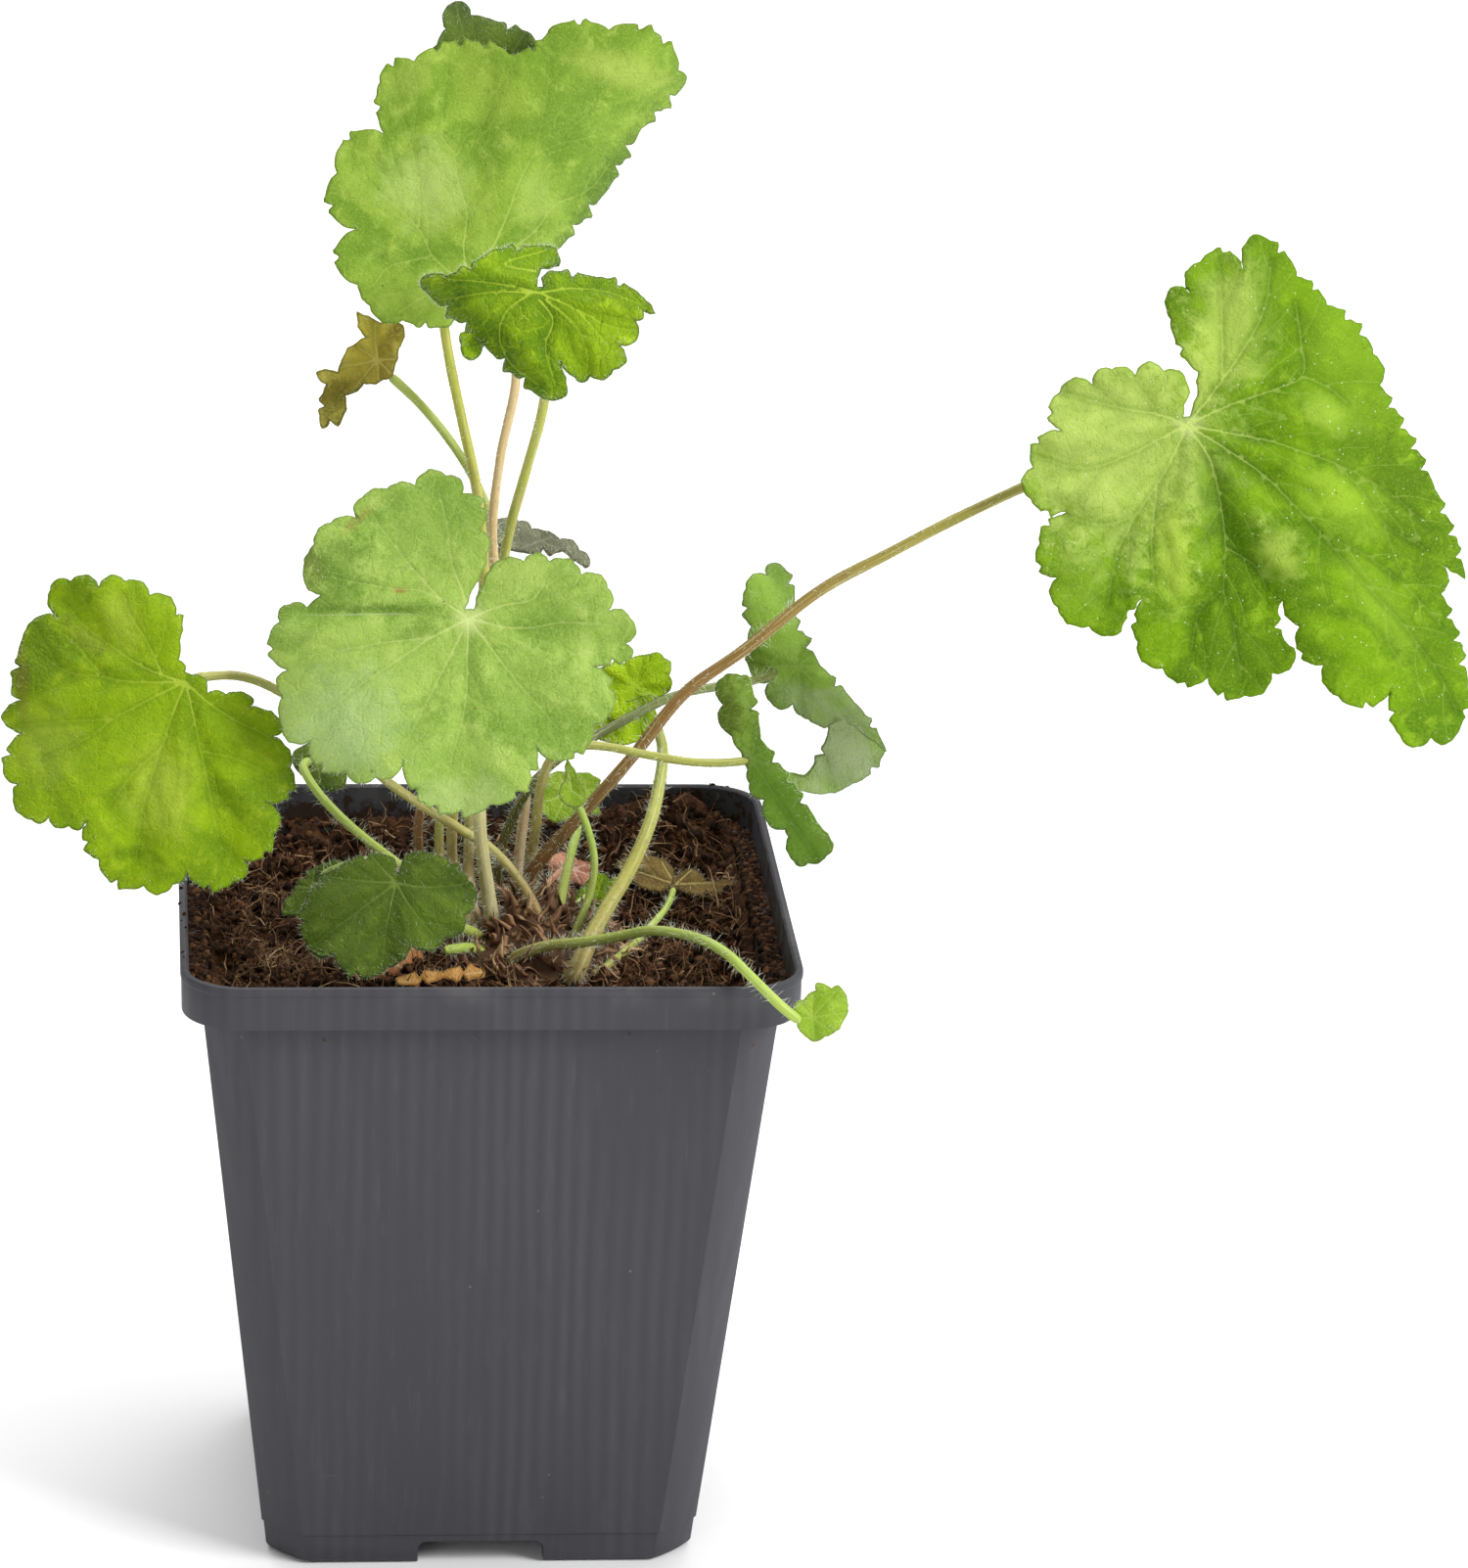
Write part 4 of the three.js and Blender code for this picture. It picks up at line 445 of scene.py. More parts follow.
# The main veins that the photograph shows, from where the stalk meets the blade.
VEINS = {
    "far_right": [
        [(0, 0), (2.9, 3.6), (5.4, 6.9), (9, 12.5), (11.2, 16.9), (12.3, 24.2)],
        [(5.1, 6.4), (5.1, 13.1), (4.6, 24.2)],
        [(0, 0), (6.8, 3.1), (12.3, 5), (16.8, 7.2), (16.5, 12.5), (15.7, 18.1)],
        [(16.8, 7.2), (20.7, 5.3), (23.4, 3.1)],
        [(0, 0), (6.8, -1.4), (12.3, -2.5), (17.3, -4.2), (21.8, -5.8), (29, -9.7), (35.7, -15.3)],
        [(21.5, -5.7), (25.1, -9.2), (29, -14.7), (34.6, -18.1)],
        [(0, 0), (5.7, -3.6), (11.2, -7.5), (15.7, -11.9), (19.6, -16.1), (25.1, -22.5), (31.8, -29.7),
         (37.3, -37.5), (39.6, -42.5)],
        [(19.6, -16.1), (26.8, -19.7), (32.3, -24.2), (37.3, -29.7)],
        [(0, 0), (3.4, -5.3), (4.6, -9.7), (5.4, -15.3), (5.6, -19.7), (5.4, -24.2), (6.8, -29.7),
         (7.9, -37.5)],
        [(5.7, -18.1), (10.1, -20.8), (11.8, -24.2)],
        [(5.4, -24.2), (1.8, -27.5), (0.7, -33)],
        [(0, 0), (-2.1, -4.7), (-4.3, -8.6), (-7.7, -13.6), (-10.4, -19.2), (-11.6, -26.4)],
        [(-7.7, -13.6), (-13.2, -14.7), (-18.2, -13.1)],
        [(-4.3, -8.6), (-5.2, -16.9), (-4.9, -23.6)],
        [(0, 0), (-4.3, -2.2), (-9.3, -4.7), (-15.4, -6.4), (-23.2, -4.2)],
        [(0, 0), (-3.8, 1.4), (-9.9, 2.5), (-18.2, 4.7)],
    ],
    "front": [
        [(0, 0), (-4.4, 2.8), (-7.2, 4), (-10.5, 4.2), (-21.3, 6.1)],
        [(0, 0), (-0.9, 3.7), (-2.6, 8.4), (-3, 12.1), (-4.4, 18.7)],
        [(-3.5, 2.2), (-8, 7), (-11.5, 11.5), (-14, 15)],
        [(0, 0), (-5.4, -2.8), (-11, -6.5), (-14.7, -8.9), (-21.3, -14)],
        [(-5.4, -2.8), (-12, -3.5), (-18, -4.5), (-24, -5.5)],
        [(0, 0), (-0.2, -4.7), (-0.5, -12.1), (-2.6, -20.6)],
        [(-1, -2), (-5, -10), (-8.5, -17)],
        [(0, 0), (4.9, -6.5), (6.8, -8.9), (9.6, -12.1), (13, -16)],
        [(0, 0), (6.8, -1.4), (13.8, -0.5), (20.8, -0.9)],
        [(0, 0), (4.9, 1.9), (9.1, 2.8), (11.4, 6.5)],
    ],
    "low_left": [
        [(0, 0), (-3.3, 0.9), (-7, 2.6), (-10.3, 4.9), (-14.6, 8.2), (-17.4, 11.5)],
        [(-3.3, 0.9), (-5.6, 5.9), (-8, 9.6), (-8.9, 12.4)],
        [(0, 0), (-8, 0), (-12.2, 0.7), (-17.4, 1.6), (-22.1, 5.4)],
        [(-12.2, 0.7), (-14.1, 3.5), (-17.4, 6.8)],
        [(0, 0), (-5.2, -2.6), (-10.3, -5.4), (-14.1, -8.2), (-20.2, -11)],
        [(-10.3, -5.4), (-18.8, -5.9), (-23.9, -6.3)],
        [(0, 0), (-1.9, -4.9), (-3.8, -10.6), (-6.1, -18.5), (-7, -25.1)],
        [(-3.3, -9.2), (-8, -13.8), (-11, -18)],
        [(0, 0), (1.4, -6.3), (2.8, -12.9), (4.2, -19.5), (5.2, -25.1)],
        [(2.8, -10.1), (7, -11), (11.3, -12.9)],
        [(0, 0), (3.3, -3.1), (7, -5.4), (12.2, -8.2), (14.6, -11)],
    ],
    "tall_front": [
        [(0, 0), (-6, 0.1), (-11.6, -0.6), (-15, -1.1)],
        [(-1, 0), (-4.7, -2.7), (-5.6, -6), (-4.2, -9.7), (0, -13)],
        [(0, -1), (1.9, -3.6), (0.9, -7.8), (2.3, -13)],
        [(1, -1), (5.1, -4.6), (7, -9.2), (6.5, -12.5)],
        [(0, 0), (5.1, -2.2), (9.8, -4.6), (14, -5.5)],
        [(0, 0), (-4.2, 1), (-7.9, 1.5), (-13, 2)],
        [(0, 0), (5, 0.6), (10, 0), (15, -1.8)],
        [(5.1, -2.2), (9, -6.5), (11, -9.5)],
        [(-0.5, 3), (-5, 4), (1, 6)],
    ],
    "tall_left": [
        [(-3.5, -3.9), (-0.6, 1.6), (1.7, 6.6), (3.4, 11.3), (5.8, 15.6), (9.1, 17.1), (14.8, 18.5),
         (22, 21)],
        [(5.8, 15.6), (7.5, 24), (8.2, 33)],
        [(-3.5, -3.9), (-4.5, 1.8), (-4, 7.1), (-5.2, 11.3), (-6.1, 16.1), (-7.5, 18), (-6.6, 31)],
        [(-5.4, 15.6), (-4.2, 18), (-1.4, 20.4), (0, 27)],
        [(-3.5, -3.9), (-9, 0.9), (-10.9, 4.7), (-13.7, 7.5), (-17.1, 10.4), (-19.9, 13.2), (-21, 16)],
        [(-9, 0.9), (-15.6, -1), (-17.5, -3.4), (-19.9, -4.3)],
        [(-10.9, 4.7), (-11, 12), (-13, 20), (-14.5, 27)],
        [(-1.5, -0.5), (5.3, 4.2), (9.1, 8.7), (13.4, 10.5), (19, 18)],
        [(-3.5, -3.9), (-10, -5), (-14, -7.5)],
    ],
}

# Leaf colours: deep, middle and pale green, vein, underside and edge
TONES = {
    "soft": ("6c8e28", "88a63a", "acc25a", "bccd6a", "9eb276", "5e7626"),
    "matte": ("7a9a3c", "99b552", "b4ca70", "c6d284", "9cb078", "687e3c"),
    "bright": ("4c7202", "6a9206", "94b42c", "bccf6c", "90a852", "5a7a0c"),
    "lime": ("608006", "7e9e06", "a0b426", "a6b83c", "90a452", "425f10"),
    "glossy": ("50740e", "7c9e0c", "a6c020", "b2c83c", "849856", "34501a"),
    "middle": ("5e8226", "86a842", "aec26e", "b6c87c", "a0b076", "4c6622"),
    "moss": ("70922e", "90b444", "acc86c", "a6ba6a", "98aa76", "4c6422"),
    "dark": ("364a0e", "50661a", "72862e", "869a46", "7c8c5e", "3a4a1c"),
    "acid": ("86aa0c", "aacc18", "cce444", "c6dc50", "8ca048", "5a761c"),
    "grey": ("565842", "6e7058", "8a8c72", "989a7c", "84866c", "4e4a38"),
    "withered": ("7e7026", "b6ac48", "d8ce6a", "ccc672", "a2ac74", "4a421a"),
    "young": ("7a9c24", "98b83a", "b8ce5c", "c8da76", "9cb46c", "788a34"),
    "dry": ("7a4a2a", "a66c40", "c6925e", "caa070", "b0845c", "643820"),
    "straw": ("a07036", "c08e50", "d4b878", "d8bc8c", "b8905c", "825a2a"),
    "blush": ("a06a54", "bc826a", "d0a28e", "d6b0a0", "b08470", "724636"),
    "russet": ("4e3c1e", "786230", "a08c4c", "b0a060", "8a7a50", "3c2c18"),
}
TONE_PARTS = ("deep", "middle", "pale", "vein", "underside", "edge")

# How each leaf looks, and what holds where it says nothing else. tone names its colours. net, vein,
# specks and dust are strengths, and so are fringe and down, the hairs on its edge and all over. In
# millimetres, quilt is the swelling between the veins, pleat the creases along them, curl the curled
# edge, wave the waves and cell the size of the triangles. rough is the roughness. marks holds single
# marks as (right, up, half width, half height, turn in degrees, colour, strength).
# quilt and pleat also set the painted shade in the vein grooves and creases; some marks are painted light and
# shade.
PLAIN = dict(
    tone="middle", net=0.35, quilt=0.2, specks=0.25, rough=0.5, fringe=0.5, down=0.15, curl=0.15,
    cell=0.42, wave=0.3, vein=0.8, pleat=0.6, dust=0.1, marks=(),
)
LOOKS = {
    "tall_left": dict(
        tone="soft", net=0.15, quilt=0.12, specks=0.4, rough=0.5, fringe=0.25, down=0.02, vein=0.7,
        pleat=0.3,
        # The dark streaks at (10.5, 18) and (17, 12) are painted shade in a fold.
        marks=(
            (-10, 11, 6, 6, 0, "b6cc74", 0.65), (6, 10, 3, 5, -20, "aec664", 0.5),
            (10.5, 18, 1.8, 4.5, -40, "62841e", 0.65), (17, 12, 2.6, 14, -33, "527220", 0.85),
            (-11, 1, 6, 2.4, 10, "668828", 0.6), (-12, 27, 5, 3, 30, "aec05a", 0.3),
            (18, 28, 7, 2.6, -15, "b6c860", 0.5), (-18, -3, 4, 3, 0, "7e9c34", 0.5),
            (1, 25, 8, 4, 0, "86a238", 0.4), (12, 20, 7, 5, 40, "6c8e34", 0.55),
        ),
    ),
    "back_top": dict(tone="dark", fringe=1, down=0.4, net=0.3, vein=0.5),
    "tall_front": dict(
        tone="glossy", net=0.85, quilt=0.4, specks=0.35, rough=0.42, fringe=1.5, down=0.35, cell=0.36,
        vein=0.8, curl=0.1, pleat=0.9,
        # Painted light and shade: dark marks on the folded left side, a bright mark on the right half.
        marks=(
            (-14, -1, 5, 3, 0, "4e7016", 0.6), (10.8, -6, 6, 6, 0, "aacc22", 0.85),
            (-6.5, -8, 3, 8, 35, "34540f", 0.7), (-3, 3.4, 4, 2, 10, "86a820", 0.6),
        ),
    ),
    "withered": dict(
        tone="withered", quilt=0.5, rough=0.75, fringe=0.6, down=0.3, wave=0.9, cell=0.36, vein=0.35, pleat=1,
        marks=((-3, 3, 3, 5, 0, "e0cc4a", 0.6), (-5, -6, 4, 4, 0, "5a5a20", 0.6)),
    ),
    "far_right": dict(
        tone="bright", net=0.2, quilt=0.2, specks=0.3, rough=0.5, fringe=0.15, down=0.02, cell=0.5,
        vein=0.8, pleat=1.1, dust=0.7, wave=0.5,
        # Painted light on the wide pale left lobe; painted shade in the dark marks at (24, 8), (32, -13) and
        # (36, -34).
        marks=(
            (-12, -2, 17, 19, 20, "b0c663", 0.95), (6, 14, 6, 11, -10, "aec45c", 0.75),
            (13, 20, 2.6, 9, -15, "688c12", 0.6), (24, 8, 7, 14, 20, "6c9018", 0.75),
            (32, -13, 6, 14, 25, "4a6a08", 0.85), (36, -34, 5, 8, 10, "547808", 0.8),
            (7, -17, 3.2, 13, 18, "426400", 0.85), (8, -34, 9, 5, 0, "4e7008", 0.8),
            (10, -7, 1.4, 10, 52, "4a6c06", 0.7), (20.6, 1.8, 4.5, 2.8, -20, "a8c04c", 0.35),
            (13.6, -19, 3, 4.6, 30, "b8d05c", 0.5), (23, -11, 8, 4.5, -30, "98b832", 0.6),
            (28, -26, 2.6, 10, 35, "86aa2c", 0.6), (-2, -20, 3, 8, 0, "b4d04c", 0.65),
            (0, 0, 2, 2, 0, "ccd690", 0.7), (-16, -24, 5, 5, 0, "7c9c26", 0.5),
        ),
    ),
    "front": dict(
        tone="matte", net=0.3, quilt=0.14, specks=0.45, rough=0.62, fringe=0.35, down=0.1, vein=0.65,
        pleat=0.4,
        # Painted light at (-18, -15), painted shade on the upper lobes at (-6, 14) and (-19, 8), and at
        # (-13.5, 1.3) a painted shadow cast along the fold by the upper-left lobe.
        marks=(
            (-18, -15, 9, 8, 20, "a8c084", 0.6), (-1, -26, 8, 3.4, 0, "a6bc74", 0.55),
            (-6, 14, 10, 8, 0, "76963a", 0.6), (-19, 8, 5, 5, 0, "587828", 0.7),
            (-22.8, 9, 1.6, 5, 15, "5a5a30", 0.6), (-13.5, 1.3, 9.5, 0.9, 1, "527222", 0.7),
            (-7, -1.6, 4, 1.6, 15, "527420", 0.6), (11, -1, 6, 4, -10, "62842a", 0.6),
            (8, -12, 7, 7, 20, "668a2c", 0.5), (8, 6, 6, 4, 20, "a2ba5c", 0.45),
            (-10, 4, 1.1, 0.4, 0, "9a6a34", 0.8), (-15.5, 14.5, 4, 0.7, 40, "8a7a3c", 0.5),
            (-15, 0.5, 8, 0.12, 1, "bcc6a4", 0.45), (0, 0, 2.4, 2.4, 0, "cad68c", 0.7),
        ),
    ),
    "low_left": dict(
        tone="lime", net=0.3, quilt=0.2, specks=0.2, rough=0.48, fringe=0.7, down=0.05, vein=0.7,
        pleat=0.7,
        marks=(
            (-21, 5, 3.4, 8, 0, "527004", 0.7), (-23.6, 1, 1.2, 8, 5, "5c4a20", 0.55),
            (-14.3, 6.3, 4.5, 1.5, -35, "6e6e34", 0.45), (-9, 8.6, 2.6, 4.5, 20, "a0ae3c", 0.5),
            (-3.4, -15, 5, 7, 15, "aaba40", 0.6), (-20, -9, 5, 6, 0, "93a83a", 0.5),
            (7, -6, 5, 6, 0, "648204", 0.55), (-10, -6, 6, 5, 0, "7a9a0c", 0.4),
        ),
    ),
    "right_curled": dict(
        tone="moss", quilt=0.3, fringe=0.8, down=0.2, pleat=0.8, vein=0.3, dust=0.3,
        marks=((6, -12, 7, 8, 0, "a8b68c", 0.85), (0, -5, 5, 2.4, -20, "b2c49a", 0.5)),
    ),
    "right_edge": dict(
        tone="moss", quilt=0.3, fringe=0.7, down=0.15, net=0.3, pleat=0.8, vein=0.3,
        # The dark mark at (-6, 6) is painted shade.
        marks=((-6, 6, 6, 7, 0, "4c5a1c", 0.75), (5, -8, 5, 12, 20, "6a9c30", 0.75)),
    ),
    "crinkled": dict(
        tone="acid", quilt=0.5, net=0.8, fringe=1, down=0.3, cell=0.32, vein=0.25, pleat=1, wave=0.8,
    ),
    "back_edge": dict(tone="grey", quilt=0.2, fringe=1, down=0.8, cell=0.32, vein=0.3),
    "left_back": dict(tone="dark", fringe=0.8, down=0.4, cell=0.32, vein=0.4),
    "low_dark": dict(
        tone="dark", quilt=0.4, net=0.5, fringe=1, down=0.4, cell=0.36, wave=0.4, vein=0.4, pleat=0.9,
        marks=((-5, 2, 5, 5, 0, "5c761c", 0.6), (5, -5, 5, 4, 0, "64801e", 0.55)),
    ),
    "shaded": dict(tone="dark", cell=0.32, vein=0.4),
    "over_rim": dict(tone="young", quilt=0.3, fringe=1, down=0.5, cell=0.28, vein=0.2, net=0.15),
    "seedling": dict(tone="russet", quilt=0.3, cell=0.3),
    "folded_young": dict(tone="young", fringe=1, down=0.6, cell=0.26, vein=0.5),
    "pale_back": dict(tone="young", fringe=0.7, cell=0.3, vein=0.5),
    "serrated": dict(tone="lime", quilt=0.3, fringe=1, cell=0.26, vein=0.4),
    "dead_pink": dict(tone="blush", rough=0.8, quilt=0.3, fringe=0.2, cell=0.3, wave=0.5),
    "dead_leaf_front": dict(tone="dry", rough=0.8, quilt=0.3, fringe=0.2, cell=0.3, wave=0.5),
    "dead_leaf_middle": dict(tone="straw", rough=0.8, quilt=0.2, fringe=0.2, cell=0.3, wave=0.4),
}

# Stalk colours from root to tip
STALK_TONES = {
    "tall_left": ("cdb596", "ccb07e", "c8ae80"),
    "back_top": ("c4ac7c", "b5b04e", "a9ad48"),
    "tall_front": ("cbb286", "aaa552", "a5a84c"),
    "withered": ("b89c70", "a2b04a", "9cac50"),
    "far_right": ("6c4826", "80602e", "8e883a"),
    "front": ("d2c69c", "c8c088", "b0b05e"),
    "low_left": ("8d6b46", "b2aa62", "a8a85a"),
    "right_curled": ("5c4c2c", "545c2c", "667434"),
    "right_edge": ("8d6b46", "b2aa60", "a4a850"),
    "crinkled": ("a8945c", "aaa650", "98a04a"),
    "back_edge": ("7c5638", "8f6742", "8a7a48"),
    "dead_pink": ("7c5638", "9a6a48", "a8705c"),
}
GREEN_STALK = ("8f7a4a", "a3b352", "a0b84e")


def linear(text):
    """A hexadecimal sRGB colour as linear RGBA."""
    parts = [int(text[k : k + 2], 16) / 255 for k in (0, 2, 4)]
    return (*[c / 12.92 if c <= 0.04045 else ((c + 0.055) / 1.055) ** 2.4 for c in parts], 1.0)


def colour_property(label, description, text):
    """A colour that the user can change, with its default from a hexadecimal colour."""
    return FloatVectorProperty(
        name=label, description=description, subtype="COLOR", size=3, min=0, max=1, default=linear(text)[:3]
    )


def length_property(label, description, size, least=0):
    """A length that the user can change, with its default and least value in millimetres."""
    return FloatProperty(
        name=label, description=description, default=size * MM, min=least * MM, subtype="DISTANCE",
        unit="LENGTH",
    )


def power_property(label, description, watts):
    return FloatProperty(name=label, description=description, default=watts, min=0, unit="POWER")


def tone_group(key):
    """A property group with the six colours of one kind of leaf."""
    made = {
        part: colour_property(part.capitalize(), f"The {part} colour of the {key} leaves", text)
        for part, text in zip(TONE_PARTS, TONES[key])
    }
    return type(f"MALLOW_PG_{key}", (PropertyGroup,), {"__annotations__": made})


class MALLOW_PG_plant(PropertyGroup):
    """Sizes and colours of the plant's fine parts."""

    thickness: length_property("Blade thickness", "Thickness of a leaf blade", 0.4, 0.1)
    hair_length: length_property("Hair length", "Length of the longest hairs", 1.3)
    hair_radius: length_property("Hair radius", "Radius of a hair at its root", 0.045)
    hair_tone: colour_property("Hair colour", "Colour of the hairs", "e9eedd")
    stalk_sides: IntProperty(
        name="Stalk sides", description="Faces round a stalk", default=12, min=6, max=32
    )
    crown_tone: colour_property("Crown colour", "Colour of the woody crown", "6e4c30")
    scale_tone: colour_property("Scale colour", "Colour of the crown's papery scales", "a57f5e")


class MALLOW_PG_soil(PropertyGroup):
    """Sizes and colours of the compost."""

    tone: colour_property("Compost colour", "Colour of the damp compost", "2a1a0f")
    light_tone: colour_property("Dry colour", "Colour of the drier crumbs", "573823")
    fibre_tone: colour_property("Fibre colour", "Colour of the fibres", "9a7650")
    crumbs: FloatProperty(
        name="Crumb density", description="Crumbs for each square metre", default=0.95e6, min=0
    )
    crumb_size: length_property("Crumb size", "Radius of the largest crumbs", 0.8)
    bank: length_property("Bank", "How far the compost climbs the walls", 1.8)
    fibres: FloatProperty(
        name="Fibre density", description="Fibres for each square metre", default=3.4e5, min=0
    )
    fibre_length: length_property("Fibre length", "Length of the longest fibres", 7)


class MALLOW_PG_pot(PropertyGroup):
    """The pot's colours and finish."""

    tone: colour_property("Pot colour", "Colour of the moulded plastic", "38383d")
    dust_tone: colour_property("Dust colour", "Colour of dust and scuffs on the plastic", "8c8a8a")
    corner_steps: IntProperty(
        name="Corner steps", description="Steps round each corner", default=14, min=3, max=40
    )


class MALLOW_PG_stage(PropertyGroup):
    """The camera, lights and floor."""

    lens: FloatProperty(
        name="Lens", description="Focal length of the camera", default=162.52, min=1,
        subtype="DISTANCE_CAMERA", unit="CAMERA",
    )
    floor_tone: colour_property("Floor colour", "Colour of the floor", "f4f4f4")
    world_strength: FloatProperty(
        name="Surround strength", description="Strength of the white surround", default=0.36, min=0
    )
    key_power: power_property("Key power", "Power of the large soft light on the right", 25)
    back_power: power_property("Back power", "Power of the wide light over the floor behind", 84)
    fill_power: power_property("Fill power", "Power of the soft light on the left", 5)


PARTS = {
    "plant": MALLOW_PG_plant,
    "soil": MALLOW_PG_soil,
    "pot": MALLOW_PG_pot,
    "stage": MALLOW_PG_stage,
    **{key: tone_group(key) for key in TONES},
}
MALLOW_PG_scene = type("MALLOW_PG_scene", (PropertyGroup,), {"__annotations__": {
    key: PointerProperty(type=group, name=key.capitalize(), description=f"Settings of the {key}")
    for key, group in PARTS.items()
}})


def settings():
    return bpy.context.scene.mallow


class Wire:
    """An output socket of a node. Arithmetic on wires adds Math nodes to their tree."""

    def __init__(self, graph, socket):
        self.graph, self.socket = graph, socket

    def math(self, operation, *terms):
        return self.graph.node("ShaderNodeMath", {"operation": operation}, dict(enumerate(terms)))

    def __add__(self, other):
        return self.math("ADD", self, other)

    def __sub__(self, other):
        return self.math("SUBTRACT", self, other)

    def __rsub__(self, other):
        return self.math("SUBTRACT", other, self)

    def __mul__(self, other):
        return self.math("MULTIPLY", self, other)

    def ramp(self, low, high):
        """Rises smoothly from 0 at low to 1 at high."""
        return self.graph.node(
            "ShaderNodeMapRange",
            {"interpolation_type": "SMOOTHSTEP"},
            {"Value": self, "From Min": low, "From Max": high},
        )


def pick(sockets, key):
    """A socket by its place, or by its identifier or name."""
    if isinstance(key, int):
        return sockets[key]
    for socket in sockets:
        if socket.identifier == key:
            return socket
    return sockets[key]


class Graph:
    """A node tree under construction, whose textures have two or three dimensions."""

    def __init__(self, tree, dimensions="3D"):
        self.tree, self.dimensions = tree, dimensions
        tree.nodes.clear()

    def node(self, kind, settings=None, inputs=None, out=0):
        """Adds a node: first its settings, then its socket values or links. Returns a wire from its
        output, or the node itself where out is None."""
        made = self.tree.nodes.new(kind)
        for key, value in (settings or {}).items():
            setattr(made, key, value)
        for key, value in (inputs or {}).items():
            socket = pick(made.inputs, key)
            if isinstance(value, Wire):
                self.tree.links.new(socket, value.socket)
            else:
                socket.default_value = value
        return made if out is None else Wire(self, pick(made.outputs, out))

    def attribute(self, name, out="Fac"):
        return self.node("ShaderNodeAttribute", {"attribute_name": name}, out=out)

    def vector(self, operation, *terms, out=0):
        return self.node("ShaderNodeVectorMath", {"operation": operation}, dict(enumerate(terms)), out)

    def stretched(self, vector, scale):
        """A vector with each part multiplied."""
        return self.vector("MULTIPLY", vector, scale)

    def noise(self, vector, scale, detail=3.0, roughness=0.5, distortion=0.0, out="Fac"):
        return self.node(
            "ShaderNodeTexNoise",
            {"noise_dimensions": self.dimensions},
            {"Vector": vector, "Scale": scale, "Detail": detail, "Roughness": roughness,
             "Distortion": distortion},
            out,
        )

    def cells(self, vector, scale, feature="DISTANCE_TO_EDGE"):
        return self.node(
            "ShaderNodeTexVoronoi",
            {"feature": feature, "voronoi_dimensions": self.dimensions},
            {"Vector": vector, "Scale": scale},
            "Distance",
        )

    def dots(self, vector, scale, outer, inner):
        """Round dots that fade from their inner to their outer radius, both as shares of a cell."""
        return self.cells(vector, scale, "F1").ramp(outer, inner)

    def over(self, base, *layers):
        """Lays colours over a base one by one, each as its factor and the colour."""
        for factor, colour in layers:
            base = self.node(
                "ShaderNodeMix",
                {"data_type": "RGBA"},
                {"Factor_Float": factor, "A_Color": as_colour(base), "B_Color": as_colour(colour)},
                "Result_Color",
            )
        return base


def as_colour(value):
    """A socket's colour from a wire, from hexadecimal text or from the red, green and blue of a setting."""
    if isinstance(value, Wire):
        return value
    return linear(value) if isinstance(value, str) else (*value, 1.0)


class PaintGraph(Graph):
    """The nodes of a new material."""

    def __init__(self, name, dimensions="3D"):
        self.material = bpy.data.materials.new(name)
        self.material.use_nodes = True
        super().__init__(self.material.node_tree, dimensions)

    def spot(self):
        return self.node("ShaderNodeTexCoord", out="Object")

    def island(self):
        """A number from 0 to 1 that differs from one loose piece to the next."""
        return self.node("ShaderNodeNewGeometry", out="Random Per Island")

    def bump(self, height, distance, strength):
        """A normal from a height, for bumps as high as the distance in millimetres."""
        inputs = {"Height": height, "Distance": distance * MM, "Strength": strength}
        return self.node("ShaderNodeBump", {}, inputs, "Normal")

    def finish(self, **inputs):
        """Ends in a shader whose sockets take these constants and wires. Returns the material."""
        sockets = {key.replace("_", " "): value for key, value in inputs.items()}
        shader = self.node("ShaderNodeBsdfPrincipled", {}, sockets, "BSDF")
        self.node("ShaderNodeOutputMaterial", {}, {"Surface": shader}, None)
        return self.material


